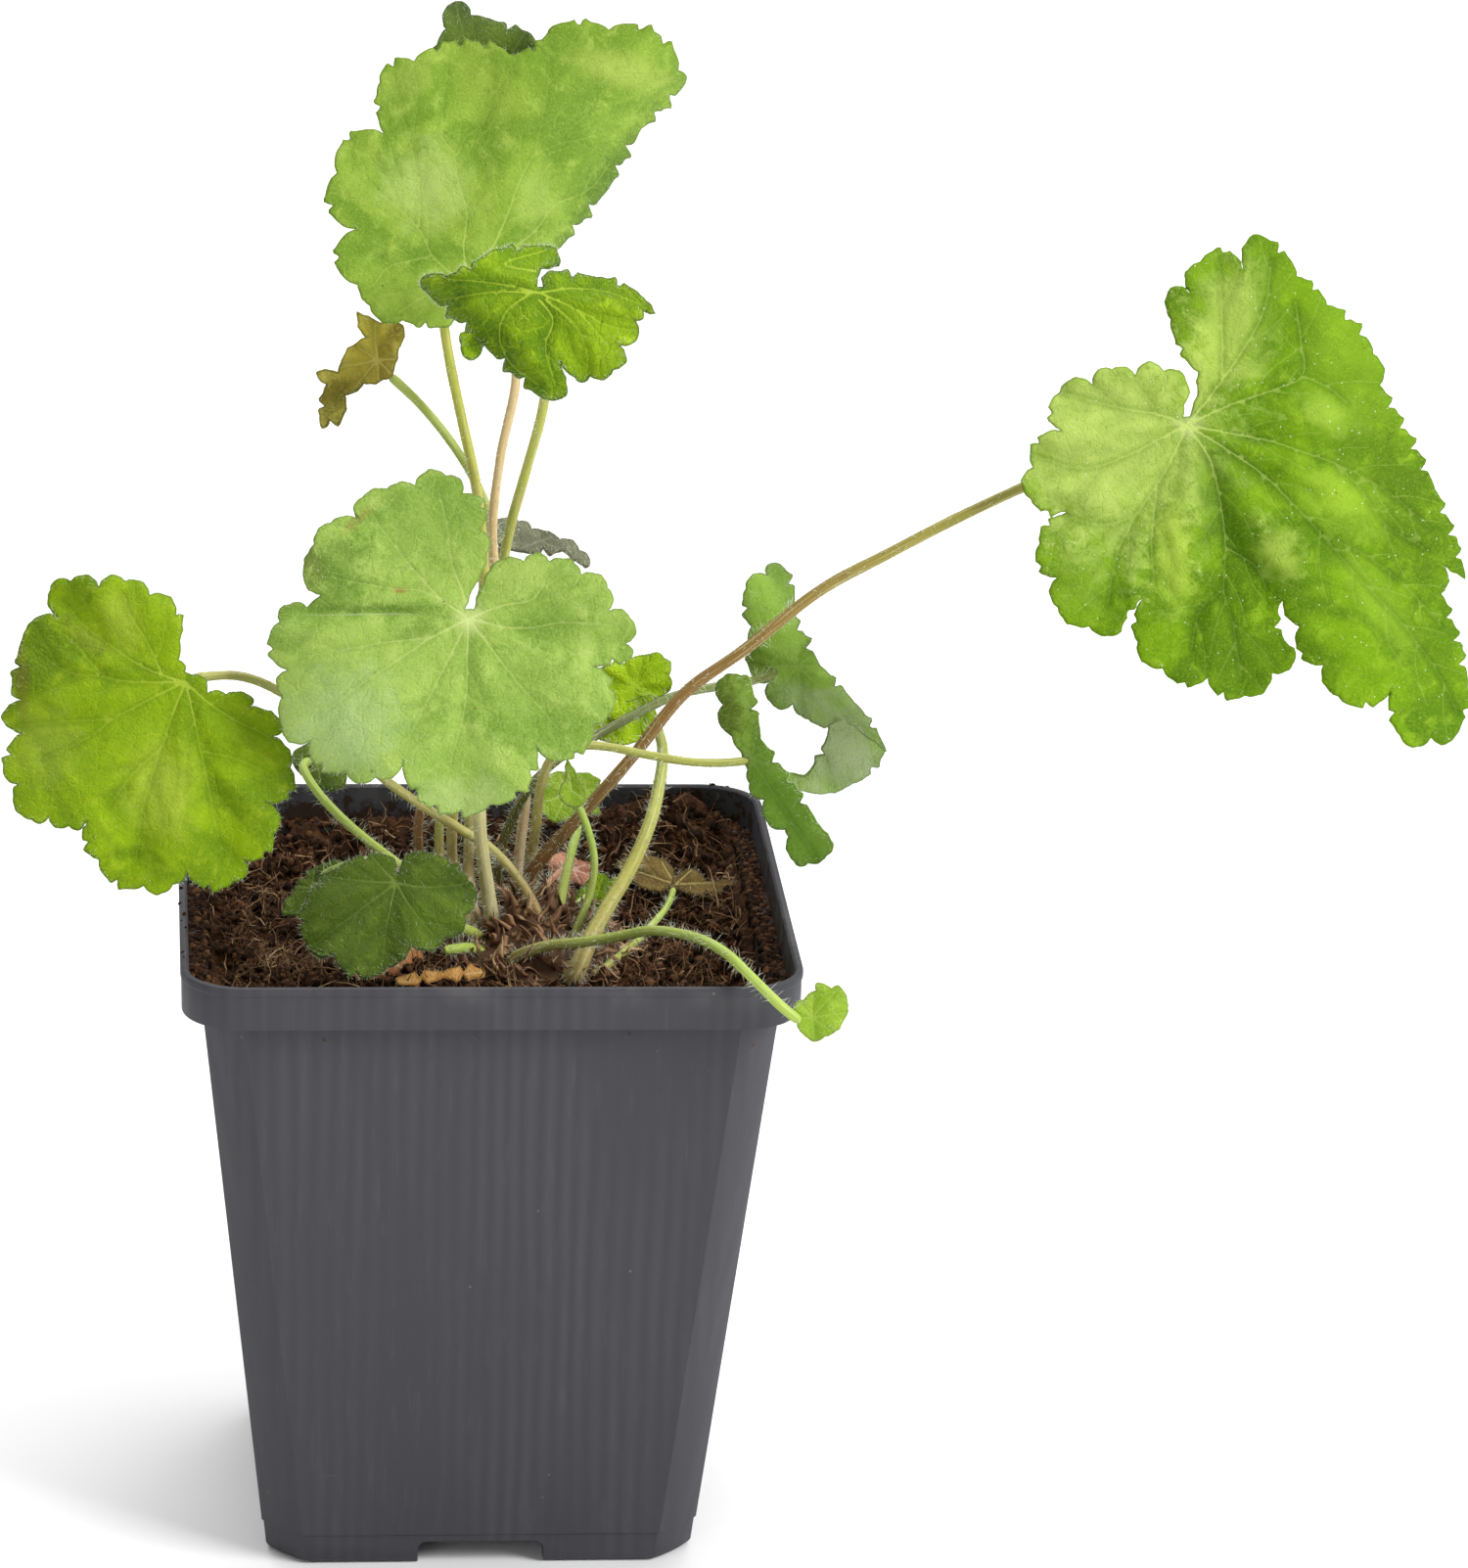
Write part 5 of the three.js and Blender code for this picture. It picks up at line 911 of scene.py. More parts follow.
def leaf_material(leaf, look, tone):
    """Patches, marks, a net of fine veins, painted crease shade, veins, specks, a dark edge and a paler
    underside.
    """
    deep, middle, pale, vein_tone, underside, edge = (getattr(tone, part) for part in TONE_PARTS)
    graph = PaintGraph(f"leaf_{leaf.name}", "2D")
    place = graph.attribute("place", "Vector")
    vein, halo, crease, margin, under = (
        graph.attribute(name) for name in ("vein", "halo", "crease", "margin", "under")
    )

    # Patches of the three greens
    broad = graph.noise(place, 0.09, 3.0, 0.55, 0.8)
    patch = graph.noise(place, 0.33, 4.0, 0.6, 0.4)
    grain = graph.noise(place, 2.6, 4.0, 0.75)
    crinkle = graph.noise(place, 1.0, 3.0, 0.6, 1.2)
    body = graph.over(
        deep,
        (broad.ramp(0.36, 0.62), middle),
        (patch.ramp(0.48, 0.8) * 0.5, pale),
        (patch.ramp(0.42, 0.2) * 0.3, deep),
    )

    # Single marks with a ragged edge; some are painted light and shade on lobes and folds. Wide ones also
    # drift out of their round shape.
    drift = graph.noise(place, 0.28, out="Color")
    drifted = graph.vector("MULTIPLY_ADD", drift, (MARK_DRIFT, MARK_DRIFT, 0), place)
    for right, up, half_width, half_height, turn, colour, strength in look["marks"]:
        wide = min(half_width, half_height) > WIDE_MARK
        shift = MARK_DRIFT / 2 * wide
        away = graph.node(
            "ShaderNodeMapping",
            {"vector_type": "TEXTURE"},
            {"Vector": drifted if wide else place, "Location": (right + shift, up + shift, 0),
             "Rotation": (0, 0, math.radians(turn)), "Scale": (half_width, half_height, 1)},
        )
        ragged = graph.vector("LENGTH", away, out="Value") + (patch - 0.5) * 1.4 + (crinkle - 0.5) * 0.9
        body = graph.over(body, (ragged.ramp(1.4, 0.3) * strength * (1 - under), colour))

    # A coarse and a fine net of veins, and paler grain, partly the leaf's own and partly painted glints on
    # its fine bumps
    sway = graph.stretched(graph.noise(place, 0.8, 2.0, out="Color"), (1.1, 1.1, 0))
    warp = graph.vector("ADD", place, sway)
    coarse = graph.cells(warp, 0.42).ramp(0.11, 0.0)
    fine = graph.cells(warp, 1.15).ramp(0.13, 0.0)
    net = (coarse * 0.65 + fine * 0.45) * (1 - vein)
    body = graph.over(
        body,
        (net * look["net"] * 0.55, pale),
        (grain.ramp(0.52, 0.72) * 0.4, pale),
    )

    # Painted shade in the grain, crinkles, vein grooves and creases, then veins, dust, specks and the edge
    shade = graph.stretched(body, (0.6, 0.68, 0.5))
    dust = graph.dots(place, 0.4, 0.05, 0.02) * graph.noise(place, 0.25).ramp(0.5, 0.6)
    blots = graph.dots(place, 0.1, 0.032, 0.013) * graph.noise(place, 0.4).ramp(0.5, 0.6)
    pinpricks = graph.dots(place, 0.4, 0.031, 0.01) * graph.noise(place, 0.7).ramp(0.52, 0.7)
    body = graph.over(
        body,
        (grain.ramp(0.46, 0.26) * 0.45, shade),
        (crinkle.ramp(0.44, 0.3) * 0.4, shade),
        (halo * look["quilt"] * 1.2, deep),
        (crease.ramp(0.15, 0.8) * look["pleat"] * 0.6, shade),
        (vein.ramp(0.3, 1.0) * look["vein"], vein_tone),
        (dust * look["dust"], "e4e9d2"),
        ((blots + pinpricks) * look["specks"], "4a3a1c"),
        (margin.ramp(0.4, 0.05) * 0.6, edge),
    )

    below = graph.over(underside, (vein.ramp(0.1, 0.8) * 0.6, vein_tone), (net * 0.35, middle))
    height = grain * 0.7 + crinkle * (0.3 + look["quilt"] * 2) + patch - net * (0.2 + look["net"])
    height = height + halo * (under * 2.4 - 1.2) * look["quilt"] + vein * (under * 1.8 - 0.5)
    return graph.finish(
        Base_Color=graph.over(body, (under, below)),
        Roughness=patch * 0.16 + under * 0.12 + (look["rough"] - 0.08),
        Normal=graph.bump(height, 0.24, 0.8),
        Specular_IOR_Level=0.08,
    )


def stalk_material(name, tones):
    """A stalk that changes colour along its length, with fine lengthwise ribs."""
    root, middle, tip = tones
    graph = PaintGraph(name)
    along, reach = graph.attribute("along"), graph.attribute("reach")
    lengthwise = graph.node("ShaderNodeCombineXYZ", {}, {"Z": reach * 0.035})
    ribs = graph.noise(graph.vector("ADD", graph.attribute("round", "Vector"), lengthwise), 3.4, 2.0)
    blotch = graph.noise(graph.node("ShaderNodeCombineXYZ", {}, {"X": reach}), 0.12, 3.0, 0.6)
    grain = graph.noise(graph.spot(), 2600.0, 3.0, 0.7)
    colour = graph.over(
        root,
        (along.ramp(0.0, 0.3), middle),
        (along.ramp(0.35, 0.75), tip),
        (blotch.ramp(0.52, 0.75) * 0.35, root),
        (ribs.ramp(0.5, 0.72) * 0.4, "dcd9a4"),
        (ribs.ramp(0.45, 0.25) * 0.35, "6c6a30"),
        (grain.ramp(0.62, 0.8) * 0.2, "5c4a2c"),
    )
    return graph.finish(
        Base_Color=colour,
        Roughness=grain * 0.2 + 0.38,
        Normal=graph.bump(ribs * 0.8 + grain * 0.3, 0.12, 0.7),
        Specular_IOR_Level=0.3,
    )


def hair_material(name, tone):
    """Pale hairs, in places a little greener."""
    graph = PaintGraph(name)
    spot = graph.spot()
    return graph.finish(
        Base_Color=graph.over(tone, (graph.noise(spot, 900.0).ramp(0.3, 0.8), "cfd8b4")),
        Roughness=graph.noise(spot, 2000.0) * 0.2 + 0.35,
    )


def soil_material(name, dark, light, fibre):
    """Damp brown crumbs with drier and reddish patches and flecks of fibre."""
    graph = PaintGraph(name)
    spot, island = graph.spot(), graph.island()
    broad = graph.noise(spot, 90.0, 4.0, 0.6, 0.3)
    lumps = graph.noise(spot, 620.0, 5.0, 0.65, 0.5)
    grit = graph.noise(spot, 2400.0, 4.0, 0.7)
    flecks = graph.noise(graph.stretched(spot, (1.0, 3.5, 1.0)), 900.0, 2.0, 0.5, 1.5)
    colour = graph.over(
        dark,
        (lumps.ramp(0.4, 0.7), light),
        (broad.ramp(0.5, 0.7) * 0.4, "3c281a"),
        (island.ramp(0.8, 1.0) * 0.7, "785438"),
        (island.ramp(0.6, 0.1) * 0.85, "120b06"),
        (flecks.ramp(0.66, 0.74) * 0.6, fibre),
        (grit.ramp(0.42, 0.2) * 0.7, "120c08"),
    )
    return graph.finish(
        Base_Color=colour,
        Roughness=grit * 0.25 + 0.7,
        Normal=graph.bump(lumps * 0.8 + grit * 0.5, 0.7, 0.9),
        Specular_IOR_Level=0.08,
    )


def fibre_material(name, tone, dark="5a3c26"):
    """Dry plant fibre: streaked, each piece its own shade."""
    graph = PaintGraph(name)
    spot, island = graph.spot(), graph.island()
    streak = graph.noise(graph.stretched(spot, (1.0, 1.0, 0.25)), 1800.0, 3.0, 0.6)
    colour = graph.over(
        dark,
        (island, tone),
        (island.ramp(0.82, 0.95) * 0.7, "cdb185"),
        (streak.ramp(0.5, 0.75) * 0.4, "3a2618"),
    )
    return graph.finish(
        Base_Color=colour,
        Roughness=streak * 0.2 + 0.6,
        Normal=graph.bump(streak, 0.15, 0.8),
        Specular_IOR_Level=0.3,
    )


def plastic_material(name, tone, dust, soil):
    """Thin moulded plastic: faint upright flow lines, scuffs along the rim, and compost stuck inside."""
    graph = PaintGraph(name)
    spot = graph.spot()
    parts = graph.node("ShaderNodeSeparateXYZ", {}, {0: spot}, None)
    x, y, z = (Wire(graph, parts.outputs[axis]) for axis in "XYZ")
    facing = y.math("GREATER_THAN", y.math("ABSOLUTE", y), x.math("ABSOLUTE", x))
    across = x * facing + y * (1 - facing)
    sway = graph.noise(graph.stretched(spot, (1.0, 1.0, 0.1)), 70.0, 2.0)
    fade = graph.noise(graph.stretched(spot, (1.0, 1.0, 0.25)), 60.0, 2.0).ramp(0.35, 0.65)
    phase = across * (2 * math.pi / (FLOW_LINE_PITCH * MM)) + sway * 9.0
    lines = (phase.math("SINE", phase) * 0.5 + 0.5) * fade
    streaks = graph.noise(graph.stretched(spot, (1.0, 1.0, 0.03)), 900.0, 3.0, 0.6)
    cloud = graph.noise(spot, 45.0, 4.0, 0.6)
    grain = graph.noise(spot, 5200.0, 2.0, 0.6)
    scratch = graph.noise(graph.stretched(spot, (1.0, 1.0, 9.0)), 160.0, 4.0, 0.75, 0.6)
    dots = graph.dots(spot, 420.0, 0.14, 0.04) * graph.noise(spot, 160.0).ramp(0.6, 0.7)
    rim = z.ramp(92.0 * MM, 96.4 * MM)
    foot = z.ramp(7.0 * MM, 1.0 * MM)
    inner = graph.attribute("inner")
    dirt = graph.noise(spot, 330.0, 5.0, 0.7) + (91.5 * MM - z) * 22.0
    colour = graph.over(
        tone,
        (lines * 0.4, "48484d"),
        (streaks.ramp(0.52, 0.8) * 0.14, "5e5d63"),
        (streaks.ramp(0.45, 0.2) * 0.3, "353539"),
        (scratch.ramp(0.68, 0.74) * (rim * 0.5 + foot * 0.6 + 0.06), dust),
        (dots * 0.4, "8c8a88"),
        (rim * cloud.ramp(0.5, 0.7) * 0.3, "6e6a68"),
        (inner * dirt.ramp(0.44, 0.52), soil),
    )
    return graph.finish(
        Base_Color=colour,
        Roughness=cloud * 0.1 + streaks * 0.12 + rim * 0.06 + inner * 0.2 + 0.46,
        Normal=graph.bump(streaks * 0.4 + grain * 0.3 + lines * 0.8, 0.05, 0.6),
        Specular_IOR_Level=0.28,
    )


def floor_material(tone):
    graph = PaintGraph("floor")
    return graph.finish(
        Base_Color=graph.over(tone, (graph.noise(graph.spot(), 3.0) * 0.15, "ffffff")),
        Roughness=0.9,
        Specular_IOR_Level=0.1,
    )


class GrowthGraph(Graph):
    """A Geometry Nodes tree with named inputs, each of which it gives by its name."""

    def __init__(self, name, *numbers):
        super().__init__(bpy.data.node_groups.new(name, "GeometryNodeTree"))
        face = self.tree.interface
        face.new_socket("Geometry", in_out="OUTPUT", socket_type="NodeSocketGeometry")
        kinds = {"Geometry": "Geometry", "Material": "Material", "Sides": "Int", "Seed": "Int"}
        for label in ("Geometry", *numbers, "Material"):
            face.new_socket(label, in_out="INPUT", socket_type=f"NodeSocket{kinds.get(label, 'Float')}")
        source = self.node("NodeGroupInput", out=None)
        self.wires = {socket.name: Wire(self, socket) for socket in source.outputs}

    def __getitem__(self, label):
        return self.wires[label]

    def named(self, name):
        return self.node("GeometryNodeInputNamedAttribute", {"data_type": "FLOAT"}, {"Name": name})

    def position(self):
        return self.node("GeometryNodeInputPosition")

    def spike(self, sides, steps):
        """A slender cone that stands on its base."""
        return self.node(
            "GeometryNodeMeshCone",
            {"fill_type": "NGON"},
            {"Vertices": sides, "Side Segments": steps, "Radius Top": 0.0, "Radius Bottom": self["Radius"],
             "Depth": self["Length"]},
        )

    def scatter(self, instance, lean):
        """Copies of an instance on the faces, as dense as the cover attribute says, each turned and
        leaning at random from the surface's normal, and from about half to full size."""
        points = self.node(
            "GeometryNodeDistributePointsOnFaces",
            {"distribute_method": "RANDOM"},
            {"Mesh": self["Geometry"], "Density": self.named("cover") * self["Density"],
             "Seed": self["Seed"]},
            None,
        )
        tilt = self.node(
            "FunctionNodeRandomValue",
            {"data_type": "FLOAT_VECTOR"},
            {"Min": (-lean, -lean, 0), "Max": (lean, lean, 6.283), "Seed": self["Seed"]},
            "Value",
        )
        turned = self.node(
            "FunctionNodeRotateRotation",
            {"rotation_space": "LOCAL"},
            {"Rotation": Wire(self, points.outputs["Rotation"]),
             "Rotate By": self.node("FunctionNodeEulerToRotation", {}, {"Euler": tilt})},
        )
        size = self.node(
            "FunctionNodeRandomValue",
            {"data_type": "FLOAT"},
            {"Min_001": 0.45, "Max_001": 1.0, "Seed": self["Seed"] + 1},
            "Value_001",
        )
        return self.node(
            "GeometryNodeInstanceOnPoints",
            {},
            {"Points": Wire(self, points.outputs["Points"]), "Instance": instance, "Rotation": turned,
             "Scale": size},
        )

    def bent(self, geometry, scale):
        """Moves realized points by a smooth noise, so that no two copies are alike."""
        real = self.node("GeometryNodeRealizeInstances", {}, {"Geometry": geometry})
        swirl = self.noise(self.position(), scale, 1.0, out="Color")
        centred = self.vector("SUBTRACT", swirl, (0.5, 0.5, 0.5))
        offset = self.vector("MULTIPLY", centred, self["Bend"])
        return self.node("GeometryNodeSetPosition", {}, {"Geometry": real, "Offset": offset})

    def finish(self, geometry):
        """Makes the geometry real and smooth, and gives it its material. Returns the tree."""
        real = self.node("GeometryNodeRealizeInstances", {}, {"Geometry": geometry})
        real = self.node("GeometryNodeSetShadeSmooth", {}, {"Geometry": real})
        done = self.node("GeometryNodeSetMaterial", {}, {"Geometry": real, "Material": self["Material"]})
        self.node("NodeGroupOutput", {}, {"Geometry": done}, None)
        return self.tree


def tube_tree():
    """Turns a line of edges into a round tube, as wide as its width attribute says."""
    graph = GrowthGraph("Tube", "Sides")
    ring = graph.node(
        "GeometryNodeCurvePrimitiveCircle", {"mode": "RADIUS"}, {"Resolution": graph["Sides"], "Radius": 1.0}
    )
    ring = graph.node(
        "GeometryNodeStoreNamedAttribute",
        {"data_type": "FLOAT_VECTOR", "domain": "POINT"},
        {"Geometry": ring, "Name": "round", "Value": graph.position()},
    )
    return graph.finish(graph.node(
        "GeometryNodeCurveToMesh",
        {},
        {"Curve": graph.node("GeometryNodeMeshToCurve", {}, {"Mesh": graph["Geometry"]}),
         "Profile Curve": ring, "Scale": graph.named("width"), "Fill Caps": True},
    ))


def hair_tree():
    graph = GrowthGraph("Hairs", "Density", "Length", "Radius", "Seed")
    return graph.finish(graph.scatter(graph.spike(3, 1), 0.75))


def fibre_tree(name, lean, flatten=1.0):
    """Loose fibres, or papery scales where they are flattened."""
    graph = GrowthGraph(name, "Density", "Length", "Radius", "Waves", "Bend", "Seed")
    blank = graph.node(
        "GeometryNodeTransform", {}, {"Geometry": graph.spike(3, 5), "Scale": (1, flatten, 1)}
    )
    return graph.finish(graph.bent(graph.scatter(blank, lean), graph["Waves"]))


def crumb_tree():
    """Irregular crumbs that lie half sunk in the surface."""
    graph = GrowthGraph("Crumbs", "Density", "Radius", "Bend", "Seed")
    ball = graph.node("GeometryNodeMeshIcoSphere", {}, {"Radius": graph["Radius"], "Subdivisions": 1})
    return graph.finish(graph.bent(graph.scatter(ball, 3.1), 700.0))


def new_piece(name, data, *materials):
    """An object at the origin that holds a mesh, a light or a camera."""
    made = bpy.data.objects.new(name, data)
    bpy.context.scene.collection.objects.link(made)
    for paint in materials:
        data.materials.append(paint)
    return made


def dress(piece, *nodes, slot=None):
    """Puts a finished piece in place of its CAD nodes."""
    if nodes:
        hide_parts(*nodes)
    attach(piece, "root")


def mesh_of(name, points, faces, edges=()):
    """A smooth mesh from points in millimetres."""
    mesh = bpy.data.meshes.new(name)
    mesh.from_pydata(np.asarray(points, float) * MM, edges, faces)
    mesh.shade_smooth()
    return mesh


def store(mesh, **fields):
    """Stores a number or a vector for each vertex."""
    for name, values in fields.items():
        values = np.asarray(values, np.float32)
        kind, slot = ("FLOAT", "value") if values.ndim == 1 else ("FLOAT_VECTOR", "vector")
        mesh.attributes.new(name, kind, "POINT").data.foreach_set(slot, values.ravel())


def face_outwards(mesh):
    shape = bmesh.new()
    shape.from_mesh(mesh)
    bmesh.ops.recalc_face_normals(shape, faces=shape.faces)
    shape.to_mesh(mesh)
    shape.free()


def bake(piece):
    """Gives a piece the mesh that its modifiers make, and takes them off."""
    result = bpy.data.meshes.new_from_object(piece.evaluated_get(bpy.context.evaluated_depsgraph_get()))
    piece.modifiers.clear()
    piece.data = result
    result.name = piece.name
    if not result.polygons:
        raise RuntimeError(f"{piece.name} came out empty")


def grown(name, mesh, tree, **values):
    """What a Geometry Nodes tree makes of a mesh, as a piece with a plain mesh. Lengths in values are in
    metres."""
    piece = new_piece(name, mesh)
    modifier = piece.modifiers.new(tree.name, "NODES")
    modifier.node_group = tree
    for item in tree.interface.items_tree:
        if item.in_out == "INPUT" and item.name in values:
            modifier[item.identifier] = values[item.name]
    bake(piece)
    face_outwards(piece.data)
    return piece


def smooth_path(points, step):
    """Points at even steps along a centripetal Catmull-Rom curve."""
    knots = np.array(points, float)
    knots = np.vstack((2 * knots[0] - knots[1], knots, 2 * knots[-1] - knots[-2]))
    t = np.linspace(0, 1, CURVE_STEPS, endpoint=False)[:, None]
    fine = []
    for a, b, c, d in zip(knots, knots[1:], knots[2:], knots[3:]):
        before, here, after = (max(np.linalg.norm(q - p) ** 0.5, 1e-4) for p, q in ((a, b), (b, c), (c, d)))
        leave = ((b - a) / before - (c - a) / (before + here) + (c - b) / here) * here
        arrive = ((c - b) / here - (d - b) / (here + after) + (d - c) / after) * here
        fine.append(
            b + leave * t + (3 * (c - b) - 2 * leave - arrive) * t**2 + (2 * (b - c) + leave + arrive) * t**3
        )
    fine = np.vstack((*fine, knots[-2]))
    run = run_along(fine)
    return points_at(fine, run, np.linspace(0, run[-1], max(2, round(run[-1] / step) + 1)))


def run_along(line):
    """The distance of each point of a line from its start, along it."""
    return np.concatenate(([0], np.cumsum(np.linalg.norm(np.diff(line, axis=0), axis=1))))


def points_at(line, run, distances):
    return np.stack([np.interp(distances, run, axis) for axis in line.T], axis=1)


def turned(vector, degrees):
    """A flat vector turned anticlockwise."""
    c, s = math.cos(math.radians(degrees)), math.sin(math.radians(degrees))
    return np.array((c * vector[0] - s * vector[1], s * vector[0] + c * vector[1]))


def bell(values, width):
    """1 where the values are 0, falling off smoothly to about a third at the width."""
    return np.exp(-((values / width) ** 2))


def blade_outline(edge, step):
    """The outline of a sheet, anticlockwise. Each stretch between two notches is a round tooth with a
    small tip, and small notches with a point before each divide a long one."""
    x, y, bulge = np.array(edge, float).T
    dx, dy = np.roll(x, -1) - x, np.roll(y, -1) - y
    outward = np.sign((x * (y + dy) - (x + dx) * y).sum())
    points = []
    for k, run in enumerate(np.hypot(dx, dy)):
        count = max(2, round(run / step))
        t = np.arange(count) / count
        height = min(TIP_HEIGHT, 0.05 * run) * bell((t - TOOTH_TIP) * run, TIP_WIDTH)
        teeth = round(run / SMALL_TOOTH)
        for notch in range(1, teeth):
            away = (t - notch / teeth) * run
            height -= NOTCH_DEPTH * bell(away, NOTCH_WIDTH)
            height += POINT_HEIGHT * bell(away + 2 * POINT_WIDTH, POINT_WIDTH)
        ragged = np.array([
            0.16 * noise.noise((u * 0.7, v * 0.7, 9)) + 0.08 * noise.noise((u * 2.1, v * 2.1, 9))
            for u, v in zip(x[k] + dx[k] * t, y[k] + dy[k] * t)
        ])
        height += ragged * np.sin(math.pi * t)
        out = outward * (bulge[k] * (4 * t * (1 - t)) ** BULGE_POWER + height / run)
        points.append(np.stack((x[k] + dx[k] * t + dy[k] * out, y[k] + dy[k] * t - dx[k] * out), axis=1))
    loop = np.vstack(points)
    return loop[::-1] if outward < 0 else loop


def relief_depth(points, reach, lean=(0, 0), cup=0, lift=0, bends=(), creases=(), ripple=(0, 1, 0)):
    """How far each point of a sheet stands towards the standing point, in millimetres. The lean is the
    slope to the right and up. The cup lifts the edge at the reach. A bend falls away in a direction,
    from a start, by its strength. A crease runs in a direction, with its depth at the edge and its
    width in degrees. A ripple lifts the edge by its height, so many times round, from a start angle."""
    x, y = points.T
    angle, share = np.arctan2(y, x), np.hypot(x, y) / reach
    depth = lift + lean[0] * x + lean[1] * y + cup * share**2
    depth += ripple[0] * share**2 * np.sin(ripple[1] * angle + ripple[2])
    for direction, start, strength in bends:
        way = math.radians(direction)
        depth -= strength * np.maximum(x * math.cos(way) + y * math.sin(way) - start, 0) ** 2
    for direction, sink, width in creases:
        off = (np.degrees(angle) - direction + 180) % 360 - 180
        depth -= sink * share * bell(off, width)
    return depth


def segment_fields(points, starts, ends, widths, strengths):
    """For each point, its distance to the nearest segment, and how deep it lies within a segment's
    width, from 0 to that segment's strength."""
    along = ends - starts
    square = np.maximum((along**2).sum(1), 1e-12)
    near, depth = np.empty(len(points)), np.empty(len(points))
    for k in range(0, len(points), SLICE):
        off = points[k : k + SLICE, None] - starts
        t = np.clip((off * along).sum(2) / square, 0, 1)
        gap = np.linalg.norm(off - t[..., None] * along, axis=2)
        near[k : k + SLICE] = gap.min(1)
        depth[k : k + SLICE] = (strengths * (1 - gap / widths)).max(1)
    return near, np.maximum(depth, 0)


def edge_distance(points, loop):
    return segment_fields(points, loop, np.roll(loop, -1, 0), 1.0, 0.0)[0]


def inside(points, loop):
    """Which points a loop goes round."""
    (x0, y0), (x1, y1) = loop.T, np.roll(loop, -1, 0).T
    slope = (x1 - x0) / np.where(y1 == y0, 1, y1 - y0)
    found = np.empty(len(points), bool)
    for k in range(0, len(points), SLICE):
        x, y = points[k : k + SLICE, :1], points[k : k + SLICE, 1:]
        crossed = ((y0 > y) != (y1 > y)) & (x < x0 + (y - y0) * slope)
        found[k : k + SLICE] = crossed.sum(1) % 2 == 1
    return found


def kept_run(line, loop, margin):
    """The longest stretch of a line that stays within a loop."""
    good = inside(line, loop) & (edge_distance(line, loop) > margin)
    best, start = (0, 0), None
    for k, ok in enumerate([*good, False]):
        if ok and start is None:
            start = k
        elif not ok and start is not None:
            best = max(best, (k - start, -start))
            start = None
    count, start = best[0], -best[1]
    return line[start : start + count]


def main_veins(leaf, loop):
    """The veins read off the photograph, or else spokes towards the lobes."""
    if leaf.name in VEINS:
        return VEINS[leaf.name]
    far = loop[np.argmax(np.hypot(*loop.T))]
    spokes = []
    reach = np.linalg.norm(far)
    for turn in SPOKES:
        way = turned(far / reach, turn)
        bow = turned(way, 90) * (turn / 400)
        spokes.append([way * t + bow * t * t / 12 for t in np.linspace(0, reach, SPOKE_POINTS)])
    return spokes


def grow_veins(leaf, loop, rng):
    """Main veins, and side veins that leave them in turn on either side, each as its points, its half
    widths and its strengths."""
    mains, sides = [], []
    for route in main_veins(leaf, loop):
        line = kept_run(smooth_path(route, VEIN_STEP), loop, VEIN_MARGIN)
        if len(line) > 5:
            widths = np.interp(np.arange(len(line)) * VEIN_STEP, *VEIN_WIDTHS)
            mains.append((line, widths, np.interp(np.hypot(*line.T), *VEIN_STRENGTHS)))
    if not mains:
        middle = loop.mean(0)
        far = loop[np.argmax(np.hypot(*(loop - middle).T))]
        line = np.linspace(middle, middle + (far - middle) * 0.6, 6)
        mains.append((line, np.full(6, 0.2), np.full(6, 0.6)))
    for line, _, _ in mains:
        side = rng.choice((-1, 1))
        k = rng.randint(6, 11)
        while k < len(line) - 4:
            twig = grow_twig(line, k, side, np.vstack([vein[0] for vein in mains + sides]), loop, rng)
            if len(twig) > 4:
                widths = np.linspace(*TWIG_WIDTHS, len(twig))
                sides.append((np.array(twig), widths, np.full(len(twig), TWIG_STRENGTH)))
            k += rng.randint(6, 10)
            side = -side
    return mains, sides


def grow_twig(line, k, side, others, loop, rng):
    """The points of a side vein, which grows until it nears another vein or the blade's edge."""
    heading = line[k] - line[k - 2]
    heading = turned(heading / np.linalg.norm(heading), side * rng.uniform(36, 48))
    twig = [line[k]]
    for count in range(rng.randint(14, 26)):
        heading = turned(heading, -side * 1.3 + rng.uniform(-3, 3))
        tip = twig[-1] + heading * VEIN_STEP
        near = count > 4 and np.hypot(*(others - tip).T).min() < TWIG_GAP
        if near or edge_distance(tip[None], loop)[0] < TWIG_MARGIN or not inside(tip[None], loop)[0]:
            break
        twig.append(tip)
    return twig


def segments(veins):
    """The starts, ends, half widths and strengths of all the veins' segments."""
    return (
        np.vstack([line[:-1] for line, _, _ in veins]),
        np.vstack([line[1:] for line, _, _ in veins]),
        np.concatenate([widths[1:] for _, widths, _ in veins]),
        np.concatenate([strengths[1:] for _, _, strengths in veins]),
    )


def fill_sheet(loop, veins, cell):
    """Triangles that fill a loop, with a corner on every vein point and an even field between."""
    (left, bottom), (right, top) = loop.min(0), loop.max(0)
    rows = np.arange(bottom, top, cell * ROW_SHARE)
    field = np.vstack([
        np.stack((np.arange(left + (k % 2) * cell / 2, right, cell),) * 2, axis=1) * (1, 0) + (0, row)
        for k, row in enumerate(rows)
    ])
    field = field[inside(field, loop)]
    field = field[edge_distance(field, loop) > FIELD_EDGE_GAP * cell]
    field = field[segment_fields(field, *segments(veins))[0] > FIELD_VEIN_GAP * cell]
    points, edges = [*loop], []
    for line, _, _ in veins:
        first = len(points)
        points.extend(line)
        edges.extend((first + k, first + k + 1) for k in range(len(line) - 1))
    points.extend(field)
    found, _, faces, _, _, _ = delaunay_2d_cdt(
        [Vector(p) for p in points], edges, [list(range(len(loop)))], 0, 1e-4, True
    )
    found, faces = np.array([tuple(p) for p in found]), np.array(faces)
    return found, faces[inside(found[faces].mean(axis=1), loop)]


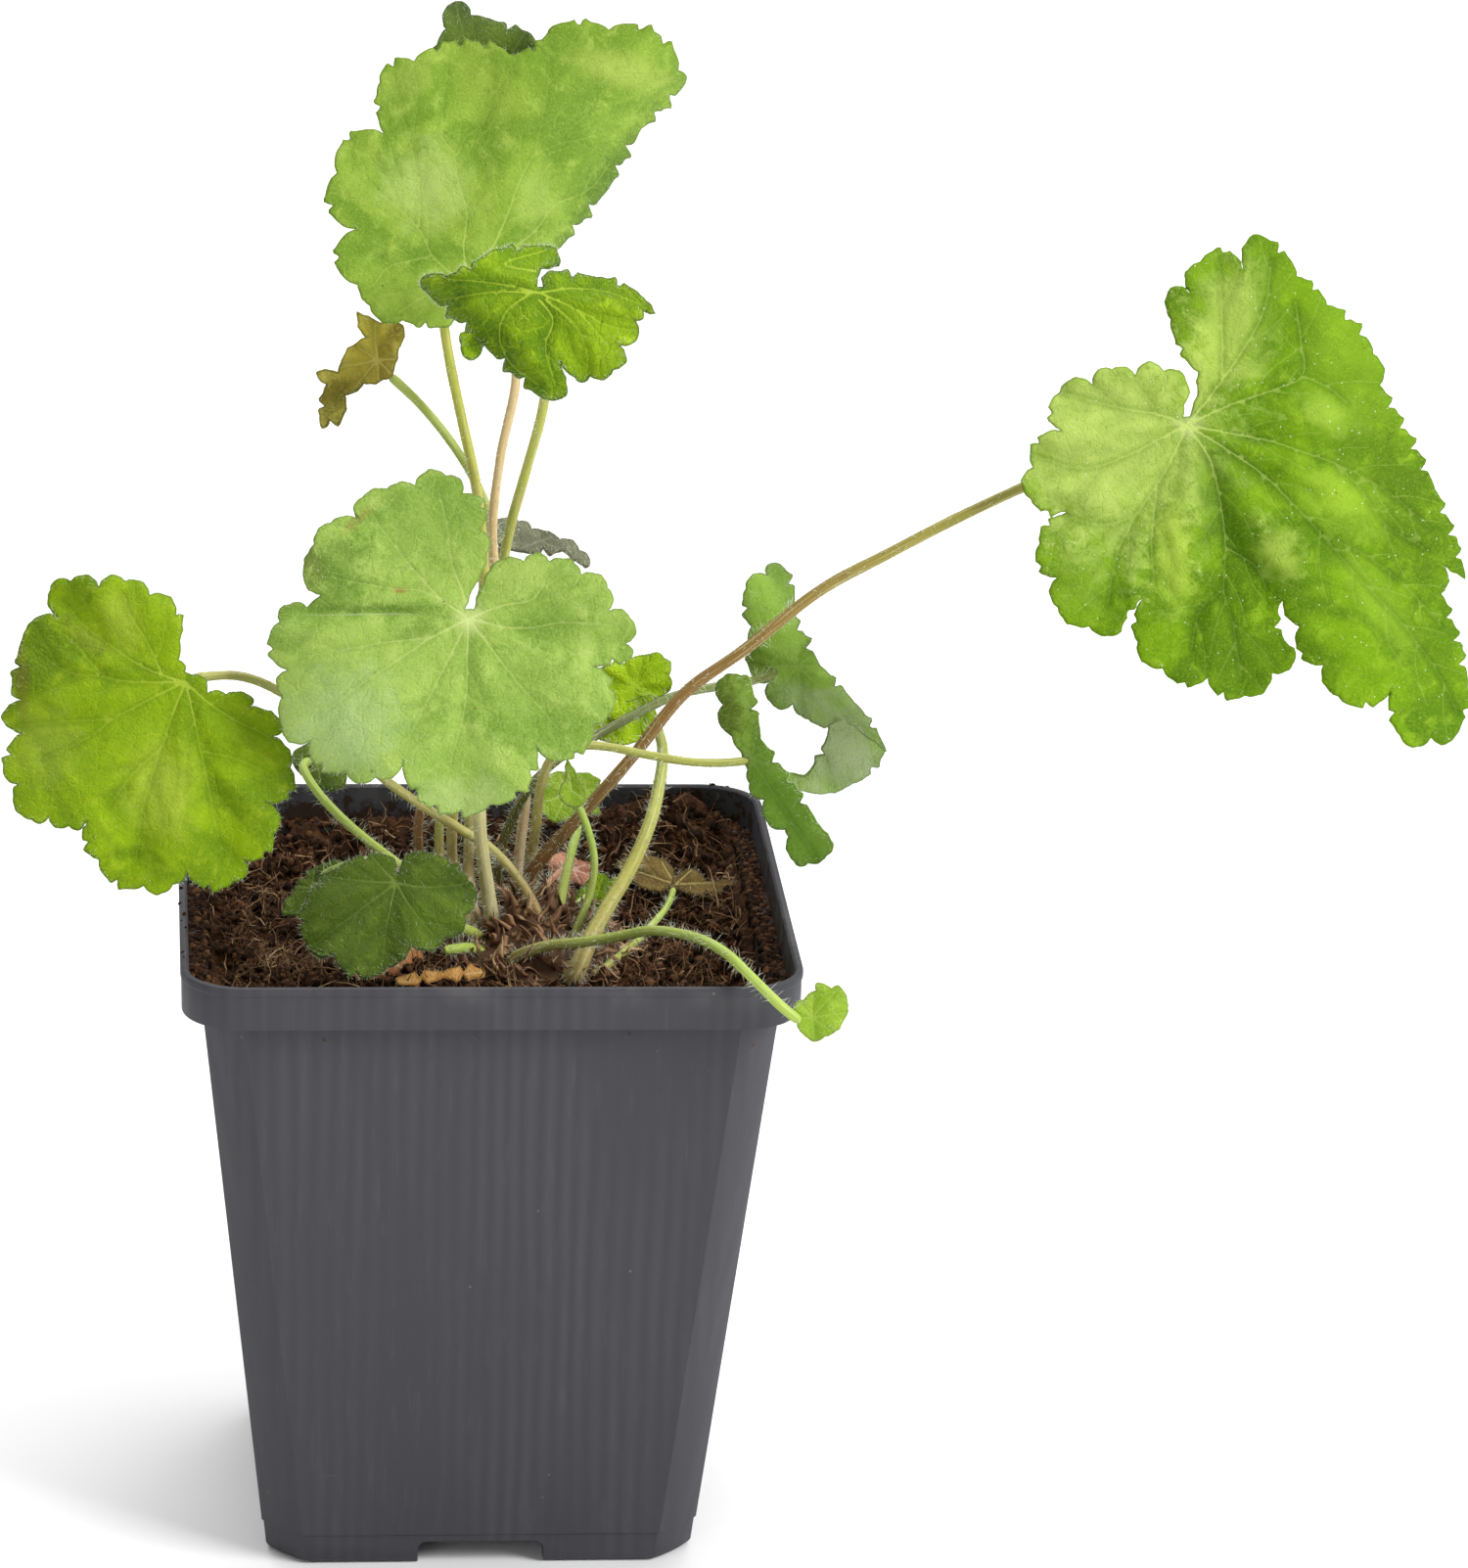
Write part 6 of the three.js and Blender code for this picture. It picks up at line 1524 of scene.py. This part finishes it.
def vertex_normals(points, faces):
    a, b, c = (points[faces[:, k]] for k in range(3))
    flat = np.cross(b - a, c - a)
    normals = np.zeros_like(points)
    for k in range(3):
        np.add.at(normals, faces[:, k], flat)
    return normals / np.maximum(np.linalg.norm(normals, axis=1, keepdims=True), 1e-12)


def seen_place(at, flat, depth):
    """Where points of a picture round a place lie, each so far from it towards the standing point."""
    sight = STANDPOINT - at
    distance = np.linalg.norm(sight)
    sight = sight / distance
    right = np.cross(SIGHT_UP, sight)
    right /= np.linalg.norm(right)
    place = at + flat[:, :1] * right + flat[:, 1:] * np.cross(sight, right)
    return place + (STANDPOINT - place) * (depth / distance)[:, None]


def sheet_mesh(leaf, edge, relief, look, thickness, rng):
    """One sheet of a blade as points, faces and fields: a front and a back that meet in a thin rim."""
    loop = blade_outline(edge, look["cell"])
    mains, sides = grow_veins(leaf, loop, rng)
    flat, faces = fill_sheet(loop, mains + sides, look["cell"])
    near, vein = segment_fields(flat, *segments(mains + sides))
    near_main = segment_fields(flat, *segments(mains))[0]
    margin, out = edge_distance(flat, loop), np.hypot(*flat.T)
    shift = rng.uniform(0, 90)
    wave = np.array([
        noise.noise((x * 0.11 + shift, y * 0.11, 0)) + 0.35 * noise.noise((x * 0.4, y * 0.4 + shift, 3))
        for x, y in flat
    ])
    halo = bell(near, QUILT_REACH)
    depth = relief_depth(flat, np.hypot(*loop.T).max(), **relief) + look["wave"] * wave
    depth += look["quilt"] * (1 - halo)
    depth += look["pleat"] * (1 - bell(near_main, PLEAT_REACH)) * np.clip(out / 10, 0, 1)
    depth -= look["curl"] * np.exp(-margin / CURL_WIDTH)
    middle = seen_place(leaf.at, flat, depth)
    normals = vertex_normals(middle, faces)
    half = thickness / 2 * np.interp(margin, (0, THIN_EDGE), (EDGE_SHARE, 1))
    front = middle + normals * half[:, None]
    back = middle - normals * (half + VEIN_SWELL * vein)[:, None]
    count = len(flat)
    corners = np.vstack((faces[:, :2], faces[:, 1:], faces[:, [2, 0]]))
    once = {tuple(pair) for pair in corners.tolist()}
    rim = [(b, a, a + count, b + count) for a, b in once if (b, a) not in once]
    all_faces = [*map(tuple, faces.tolist()), *map(tuple, (faces[:, ::-1] + count).tolist()), *rim]
    fields = dict(
        place=np.tile(np.column_stack((flat, np.zeros(count))), (2, 1)),
        vein=np.tile(vein, 2),
        halo=np.tile(halo, 2),
        crease=np.tile(bell(near_main, CREASE_WIDTH) * np.clip(out / 8, 0, 1), 2),
        margin=np.tile(margin, 2),
        under=np.repeat((0.0, 1.0), count),
        cover=np.tile(look["fringe"] * np.exp(-margin / FRINGE_WIDTH) + 0.03 * look["down"], 2),
    )
    return np.vstack((front, back)), all_faces, fields


def blade_mesh(name, leaf, look, thickness):
    """All the sheets of a blade as one mesh."""
    rng = random.Random(f"{SEED} {leaf.name}")
    points, faces, fields, total = [], [], [], 0
    for edge, relief in leaf.sheets:
        sheet_points, sheet_faces, sheet_fields = sheet_mesh(leaf, edge, relief, look, thickness, rng)
        points.append(sheet_points)
        faces.extend(tuple(v + total for v in face) for face in sheet_faces)
        fields.append(sheet_fields)
        total += len(sheet_points)
    mesh = mesh_of(name, np.vstack(points), faces)
    store(mesh, **{key: np.concatenate([f[key] for f in fields]) for key in fields[0]})
    return mesh


def stalk_line(name, route, radius):
    """The middle line of a stalk, with its width, and its distance along as a share and in millimetres."""
    start = np.array(route[0], float)
    sink = (CROWN_HEART - start) * ROOT_SLANT
    root = start + sink * ROOT_SINK / np.linalg.norm(sink)
    line = smooth_path([root, *route], STALK_STEP)
    share = np.linspace(0, 1, len(line))
    run = share * STALK_STEP * (len(line) - 1)
    left = run[-1] - run
    wobble = np.array([noise.noise((s * 0.25, line[0][0], 7)) for s in run])
    width = (radius[0] + (radius[1] - radius[0]) * share) * (STALK_SHARE + 0.04 * wobble)
    width *= 1 + 0.25 * np.exp(-run / 6) + 0.2 * np.exp(-left / 2)
    width *= np.interp(left, *TIP_NARROWING)
    mesh = mesh_of(name, line, [], [(k, k + 1) for k in range(len(line) - 1)])
    store(mesh, width=width * MM, along=share, reach=run, cover=0.4 + 0.6 * np.exp(-run / 18))
    return mesh


def compost_height(x, y):
    """The height of the compost: hollows, mounds against the walls, and small lumps."""
    height = COMPOST_LEVEL + 0.7 * np.sin(0.55 * x + 1.3) * np.sin(0.61 * y)
    height += 0.5 * np.sin(1.05 * x + 0.7 * y) + 0.4 * np.cos(1.3 * y - 0.4 * x)
    for right, back, half_width, half_depth, rise in (
        (7, -5, 15, 15, 2), (31, 42, 15, 12, 10), (44, 10, 7, 20, 5), (-44, -8, 8, 26, 5),
        (-12, 42, 26, 8, 6), (-12, -18, 14, 10, 3.6), (-27, 8, 13, 13, -4), (36, -33, 10, 8, -4),
    ):
        height += rise * bell(x - right, half_width) * bell(y - back, half_depth)
    return height


def quarter_turn(side):
    return Matrix.Rotation(side * math.pi / 2, 3, "Z")


def square_ring(half, corner, roundness, z, steps):
    """A square ring at height z, its corners cut by a straight facet (roundness 0) or an arc (1)."""
    ring = []
    for quarter in range(4):
        turn = quarter_turn(quarter)
        for k in range(steps + 1):
            t = k / steps
            x = half - corner + corner * ((1 - t) * (1 - roundness) + math.cos(t * math.pi / 2) * roundness)
            y = half - corner + corner * (t * (1 - roundness) + math.sin(t * math.pi / 2) * roundness)
            ring.append(turn @ Vector((x, y, z)))
    return ring


def loft_mesh(name, rings):
    """A closed body through rings of equal count."""
    count = len(rings[0])
    faces = [tuple(range(count))[::-1], tuple(range((len(rings) - 1) * count, len(rings) * count))]
    for k in range(len(rings) - 1):
        for i in range(count):
            a, b = k * count + i, k * count + (i + 1) % count
            faces.append((a, b, b + count, a + count))
    return mesh_of(name, [tuple(p) for ring in rings for p in ring], faces)


def body_half(z):
    """Half width of the tapering body's outside at height z."""
    return BASE_HALF + (BODY_TOP_HALF - BASE_HALF) * z / BAND_BOTTOM


def pot_rings(steps):
    """The rings of the pot's outside, from its base up, and then of its inside, down to the floor."""

    def body(z, inset=0.0, thinner=0.0):
        return square_ring(body_half(z) - inset, BODY_CORNER - thinner, BODY_ROUNDNESS, z, steps)

    def rim(inset, z):
        return square_ring(RIM_HALF - inset, RIM_CORNER - inset, 1, z, steps)

    def mouth(inset, z):
        return square_ring(RIM_HALF - WALL - inset, MOUTH_CORNER, 1, z, steps)

    soft = EDGE_ROUND * (1 - math.sqrt(0.5))
    lip = POT_HEIGHT - LIP_HEIGHT
    return [
        body(0, FOOT_ROUND),
        body(FOOT_ROUND * 0.3, FOOT_STEP + FOOT_ROUND * 0.3),
        body(FOOT_ROUND, FOOT_STEP),
        body(FOOT_HEIGHT, FOOT_STEP),
        body(FOOT_HEIGHT + FOOT_STEP),
        body(BAND_BOTTOM),
        rim(BAND_STEP + EDGE_ROUND, BAND_BOTTOM),
        rim(BAND_STEP + soft, BAND_BOTTOM + soft),
        rim(BAND_STEP, BAND_BOTTOM + EDGE_ROUND),
        rim(BAND_STEP, lip - EDGE_ROUND),
        rim(0, lip),
        rim(0, POT_HEIGHT - EDGE_ROUND),
        rim(soft, POT_HEIGHT - soft),
        rim(EDGE_ROUND, POT_HEIGHT),
        rim(WALL - EDGE_ROUND / 2, POT_HEIGHT),
        mouth(BAND_STEP, POT_HEIGHT - EDGE_ROUND),
        mouth(2 * BAND_STEP, BAND_BOTTOM + WALL + EDGE_ROUND),
        body(BAND_BOTTOM + WALL, WALL, WALL / 2),
        body(FLOOR_TOP, WALL, WALL / 2),
    ]


def recess_mesh(side):
    """The tool that cuts a recess into one edge of the base."""
    half = RECESS_WIDTH / 2
    arch = [(-half, -1), (half, -1)]
    for turn in (0, 1):
        for k in range(RECESS_STEPS + 1):
            angle = (turn + k / RECESS_STEPS) * math.pi / 2
            x = (half - RECESS_CORNER) * (1 - 2 * turn) + RECESS_CORNER * math.cos(angle)
            arch.append((x, RECESS_HEIGHT - RECESS_CORNER + RECESS_CORNER * math.sin(angle)))
    ends = (-BASE_HALF - 2, RECESS_DEPTH - BASE_HALF)
    return loft_mesh(
        f"recess_{side}", [[quarter_turn(side) @ Vector((x, y, z)) for x, z in arch] for y in ends]
    )


def drain_mesh(side):
    """The tool that cuts a drain hole through the floor above a recess."""
    middle = RECESS_DEPTH / 2 - BASE_HALF
    spin = [Matrix.Rotation(2 * math.pi * k / DRAIN_SIDES, 3, "Z") for k in range(DRAIN_SIDES)]
    circle = [turn @ Vector((DRAIN_RADIUS, 0, 0)) for turn in spin]
    return loft_mesh(
        f"drain_{side}",
        [[quarter_turn(side) @ (p + Vector((0, middle, z))) for p in circle] for z in (-1, 2 * FLOOR_TOP)],
    )


def edge_strip(name, halves, height, patchy):
    """A flat strip round the pot at one height, where loose crumbs lie: everywhere, or in patches on the
    left and at the back."""
    rings = []
    for half in halves:
        ring = np.array(square_ring(half, MOUTH_CORNER, 1, height, 8))
        closed = np.vstack((ring, ring[:1]))
        run = run_along(closed)
        rings.append(points_at(closed, run, np.linspace(0, 1, STRIP_STEPS, endpoint=False) * run[-1]))
    points = np.vstack(rings)
    faces = []
    for k in range(STRIP_STEPS):
        after = (k + 1) % STRIP_STEPS
        faces.append((k, after, after + STRIP_STEPS, k + STRIP_STEPS))
    cover = np.ones(len(points))
    if patchy:
        drift = np.array([noise.noise((x * 0.09, y * 0.09, 5)) for x, y, _ in points])
        side = np.maximum(bell(points[:, 0] + RIM_HALF, 6), bell(points[:, 1] - RIM_HALF, 6))
        cover = np.clip(drift + patchy, 0, 1) * np.clip(side + 0.04, 0, 1)
    mesh = mesh_of(name, points, faces)
    store(mesh, cover=cover)
    return mesh


def compost_top(inner, bank):
    """A grid of points for the compost's surface, within the pot's cut corners, and each point's gap to
    the wall."""
    line = np.linspace(-inner, inner, COMPOST_CELLS + 1)
    x, y = (axis.ravel() for axis in np.meshgrid(line, line))
    cut = np.maximum(np.abs(x) + np.abs(y) - (2 * inner - BODY_CORNER * 0.8), 0) / 2
    x, y = x - np.sign(x) * cut, y - np.sign(y) * cut
    lumps = np.array([
        1.3 * noise.noise((a * 0.3, b * 0.3, 1)) + 0.9 * noise.noise((a * 0.8, b * 0.8, 2))
        + 0.45 * noise.noise((a * 1.9, b * 1.9, 3))
        for a, b in zip(x, y)
    ])
    gap = inner - np.maximum(np.abs(x), np.abs(y))
    return np.stack((x, y, compost_height(x, y) + lumps + bank * bell(gap, BANK_WIDTH)), axis=1), gap


def compost_meshes(bank):
    """The whole body of compost, and its surface alone, on which the crumbs and fibres lie."""
    inner = body_half(BAND_BOTTOM) - WALL - CLEARANCE
    top, gap = compost_top(inner, bank)
    row = COMPOST_CELLS + 1
    first = row * row
    faces = [
        (j * row + i, j * row + i + 1, (j + 1) * row + i + 1, (j + 1) * row + i)
        for j in range(COMPOST_CELLS) for i in range(COMPOST_CELLS)
    ]
    seat = mesh_of("compost_seat", top, faces)
    store(seat, cover=(gap > BARE_WALL_GAP).astype(float))
    border = [
        *range(row), *range(2 * row - 1, first, row), *range(first - 2, first - row - 1, -1),
        *range(first - 2 * row, 0, -row),
    ]
    floor = FLOOR_TOP + CLEARANCE
    shrink = (body_half(floor) - WALL - CLEARANCE) / inner
    points = np.vstack((top, top[border] * (shrink, shrink, 0) + (0, 0, floor)))
    count = len(border)
    for k, a in enumerate(border):
        faces.append((border[(k + 1) % count], a, first + k, first + (k + 1) % count))
    faces.append(tuple(range(first, first + count))[::-1])
    body = mesh_of("compost_body", points, faces)
    face_outwards(body)
    return body, seat


class MALLOW_OT_pot(Operator):
    """Make the moulded pot"""

    bl_idname = "mallow.pot"
    bl_label = "Pot"

    def execute(self, context):
        chosen = settings().pot
        plastic = plastic_material("pot_plastic", chosen.tone, chosen.dust_tone, settings().soil.tone)
        rings = pot_rings(chosen.corner_steps)
        body = new_piece("pot_body", loft_mesh("pot_body", rings), plastic)
        store(body.data, inner=np.repeat(np.arange(len(rings)) >= OUTER_RINGS, len(rings[0])))
        face_outwards(body.data)
        tools = []
        for side in range(4):
            for mesh in (recess_mesh(side), drain_mesh(side)):
                face_outwards(mesh)
                tools.append(new_piece(mesh.name, mesh))
                cut = body.modifiers.new(mesh.name, "BOOLEAN")
                cut.operation, cut.solver, cut.object = "DIFFERENCE", "EXACT", tools[-1]
        bake(body)
        for tool in tools:
            bpy.data.objects.remove(tool)
        body.data.set_sharp_from_angle(angle=math.radians(32))
        dress(body, "pot")
        return {"FINISHED"}


class MALLOW_OT_compost(Operator):
    """Fill the pot with compost, crumbs and fibres"""

    bl_idname = "mallow.compost"
    bl_label = "Compost"

    def add_crumbs(self, name, ground, earth, density, size, bend, seed):
        """Crumbs on a mesh, as dense and large as shares of the settings, bent by millimetres."""
        chosen = settings().soil
        crumbs = grown(
            name, ground, crumb_tree(), Density=chosen.crumbs * density, Radius=chosen.crumb_size * size,
            Bend=bend * MM, Seed=seed, Material=earth,
        )
        dress(crumbs, slot="compost")

    def execute(self, context):
        chosen = settings().soil
        earth = soil_material("compost", chosen.tone, chosen.light_tone, chosen.fibre_tone)
        body, seat = compost_meshes(chosen.bank / MM)
        dress(new_piece("compost_body", body, earth), "compost")
        self.add_crumbs("compost_crumbs", seat.copy(), earth, 1, 1, 1.3, SEED)
        fibres = grown(
            "compost_fibres", seat, fibre_tree("Fibres", 1.45), Density=chosen.fibres,
            Length=chosen.fibre_length, Radius=0.16 * MM, Waves=260.0, Bend=5.0 * MM, Seed=SEED + 1,
            Material=fibre_material("compost_fibre", chosen.fibre_tone),
        )
        dress(fibres, slot="compost")
        ledge = edge_strip("ledge_crumbs", LEDGE_HALVES, BAND_BOTTOM + WALL, 0)
        rim = edge_strip("rim_crumbs", RIM_HALVES, POT_HEIGHT, 0.15)
        self.add_crumbs("ledge_crumbs", ledge, earth, 3.2, 0.95, 1.2, SEED + 3)
        self.add_crumbs("rim_crumbs", rim, earth, 1.2, 0.55, 1.2, SEED + 3)
        return {"FINISHED"}


class MALLOW_OT_crown(Operator):
    """Make the woody crown with its papery scales"""

    bl_idname = "mallow.crown"
    bl_label = "Crown"

    def execute(self, context):
        chosen = settings().plant
        ball = bmesh.new()
        bmesh.ops.create_icosphere(ball, subdivisions=CROWN_ICO_STEPS, radius=1)
        mesh = bpy.data.meshes.new("crown_body")
        ball.to_mesh(mesh)
        ball.free()
        unit = np.empty(3 * len(mesh.vertices))
        mesh.vertices.foreach_get("co", unit)
        unit = unit.reshape(-1, 3)
        x, y, z = unit.T
        knob = 0.06 * np.sin(7 * x + 2) * np.cos(6 * y) + 0.05 * np.sin(9 * z + 5 * x)
        rough = np.array([noise.noise(p * 5) * 0.05 + noise.noise(p * 14) * 0.025 for p in map(Vector, unit)])
        place = unit * CROWN_RADII * (1 + knob + rough)[:, None]
        place[:, 2] += CROWN_SLOPE * place[:, 1]
        mesh.vertices.foreach_set("co", ((place + CROWN_HEART) * MM).ravel())
        mesh.shade_smooth()
        store(mesh, cover=np.clip(z * 1.5 + 0.45, 0, 1))
        bark = fibre_material("crown", chosen.crown_tone, "3a2618")
        scales = grown(
            "crown_scales", mesh.copy(), fibre_tree("Scales", 0.8, 0.3),
            Density=CROWN_SCALES, Length=4.8 * MM,
            Radius=1.2 * MM, Waves=240.0, Bend=4.0 * MM, Seed=SEED + 2,
            Material=fibre_material("crown_scale", chosen.scale_tone),
        )
        dress(scales, slot="crown")
        dress(new_piece("crown_body", mesh, bark), "crown")
        return {"FINISHED"}


class MALLOW_OT_stalks(Operator):
    """Make the leaf stalks and their hairs"""

    bl_idname = "mallow.stalks"
    bl_label = "Stalks"

    def execute(self, context):
        chosen = settings().plant
        tube, hairs = tube_tree(), hair_tree()
        white = hair_material("stalk_hair", chosen.hair_tone)
        stems = [(f"stalk_{leaf.name}", leaf.name, leaf.route, leaf.radius) for leaf in LEAVES if leaf.route]
        stems.append(("cut_stub", "cut_stub", *CUT_STUB))
        for k, (node, key, route, radius) in enumerate(stems):
            paint = stalk_material(node, STALK_TONES.get(key, GREEN_STALK))
            line = stalk_line(node, route, radius)
            piece = grown(f"{node}_tube", line, tube, Sides=chosen.stalk_sides, Material=paint)
            fringe = grown(
                f"{node}_hairs", piece.data.copy(), hairs, Density=STALK_HAIRS,
                Length=chosen.hair_length * STALK_HAIR_LENGTH, Radius=chosen.hair_radius, Seed=SEED + k,
                Material=white,
            )
            dress(piece, node)
            dress(fringe, slot=SLOTS[node])
        return {"FINISHED"}


class MALLOW_OT_blades(Operator):
    """Make the leaf blades and their hairs"""

    bl_idname = "mallow.blades"
    bl_label = "Blades"

    def execute(self, context):
        chosen = settings().plant
        hairs = hair_tree()
        white = hair_material("blade_hair", chosen.hair_tone)
        for k, leaf in enumerate(LEAVES):
            node = f"blade_{leaf.name}" if leaf.route else leaf.name
            look = {**PLAIN, **LOOKS[leaf.name]}
            paint = leaf_material(leaf, look, getattr(settings(), look["tone"]))
            mesh = blade_mesh(f"{node}_sheet", leaf, look, chosen.thickness / MM)
            piece = new_piece(f"{node}_sheet", mesh, paint)
            fringe = grown(
                f"{node}_hairs", mesh.copy(), hairs, Density=BLADE_HAIRS,
                Length=chosen.hair_length * BLADE_HAIR_SIZE, Radius=chosen.hair_radius * BLADE_HAIR_SIZE,
                Seed=SEED + k, Material=white,
            )
            dress(piece, node)
            dress(fringe, slot=SLOTS[node])
        return {"FINISHED"}


def area_light(name, place, target, size, power):
    """A square soft light that shines on a point."""
    lamp = bpy.data.lights.new(name, "AREA")
    lamp.size, lamp.energy = size, power
    made = new_piece(name, lamp)
    made.location = place
    made.rotation_euler = (Vector(target) - Vector(place)).to_track_quat("-Z", "Y").to_euler()


class MALLOW_OT_stage(Operator):
    """Set up the floor, the lights and the camera"""

    bl_idname = "mallow.stage"
    bl_label = "Stage"

    def execute(self, context):
        chosen = settings().stage
        scene = context.scene
        corners = [(x * FLOOR_HALF, y * FLOOR_HALF, 0) for x, y in ((-1, -1), (1, -1), (1, 1), (-1, 1))]
        ground = mesh_of("floor", corners, [(0, 1, 2, 3)])
        floor = new_piece("floor", ground, floor_material(chosen.floor_tone))
        floor.location.z = -FLOOR_DROP * MM
        world = bpy.data.worlds.new("surround")
        world.use_nodes = True
        scene.world = world
        background = world.node_tree.nodes["Background"]
        background.inputs["Color"].default_value = (1, 1, 1, 1)
        background.inputs["Strength"].default_value = chosen.world_strength
        for name, (place, target, size) in LIGHTS.items():
            area_light(name, place, target, size, getattr(chosen, f"{name}_power"))
        lens = bpy.data.cameras.new("camera")
        lens.lens = chosen.lens
        lens.clip_start, lens.clip_end = 0.01, 20
        camera = new_piece("camera", lens)
        camera.matrix_world = Matrix.Translation(CAMERA_PLACE * MM) @ CAMERA_AXES.to_4x4()
        scene.camera = camera
        scene.view_settings.view_transform = "Standard"
        return {"FINISHED"}


class MALLOW_PT_panel(Panel):
    """Lists what makes the plant"""

    bl_label = "Potted musk mallow"
    bl_space_type = "VIEW_3D"
    bl_region_type = "UI"
    bl_category = "Mallow"

    def draw(self, context):
        for operator in OPERATORS:
            self.layout.operator(operator.bl_idname)
        for group in PARTS:
            box = self.layout.box()
            box.label(text=group.capitalize())
            chosen = getattr(settings(), group)
            for key in chosen.bl_rna.properties.keys():
                if key not in ("rna_type", "name"):
                    box.prop(chosen, key)


OPERATORS = (
    MALLOW_OT_pot, MALLOW_OT_compost, MALLOW_OT_crown, MALLOW_OT_stalks, MALLOW_OT_blades, MALLOW_OT_stage,
)
CLASSES = (*PARTS.values(), MALLOW_PG_scene, *OPERATORS, MALLOW_PT_panel)


def register():
    for item in CLASSES:
        bpy.utils.register_class(item)
    bpy.types.Scene.mallow = PointerProperty(type=MALLOW_PG_scene)


def unregister():
    del bpy.types.Scene.mallow
    for item in reversed(CLASSES):
        bpy.utils.unregister_class(item)


def main():
    register()
    bpy.ops.mallow.pot()
    bpy.ops.mallow.compost()
    bpy.ops.mallow.crown()
    bpy.ops.mallow.stalks()
    bpy.ops.mallow.blades()
    bpy.ops.mallow.stage()


if __name__ == "__main__":
    main()
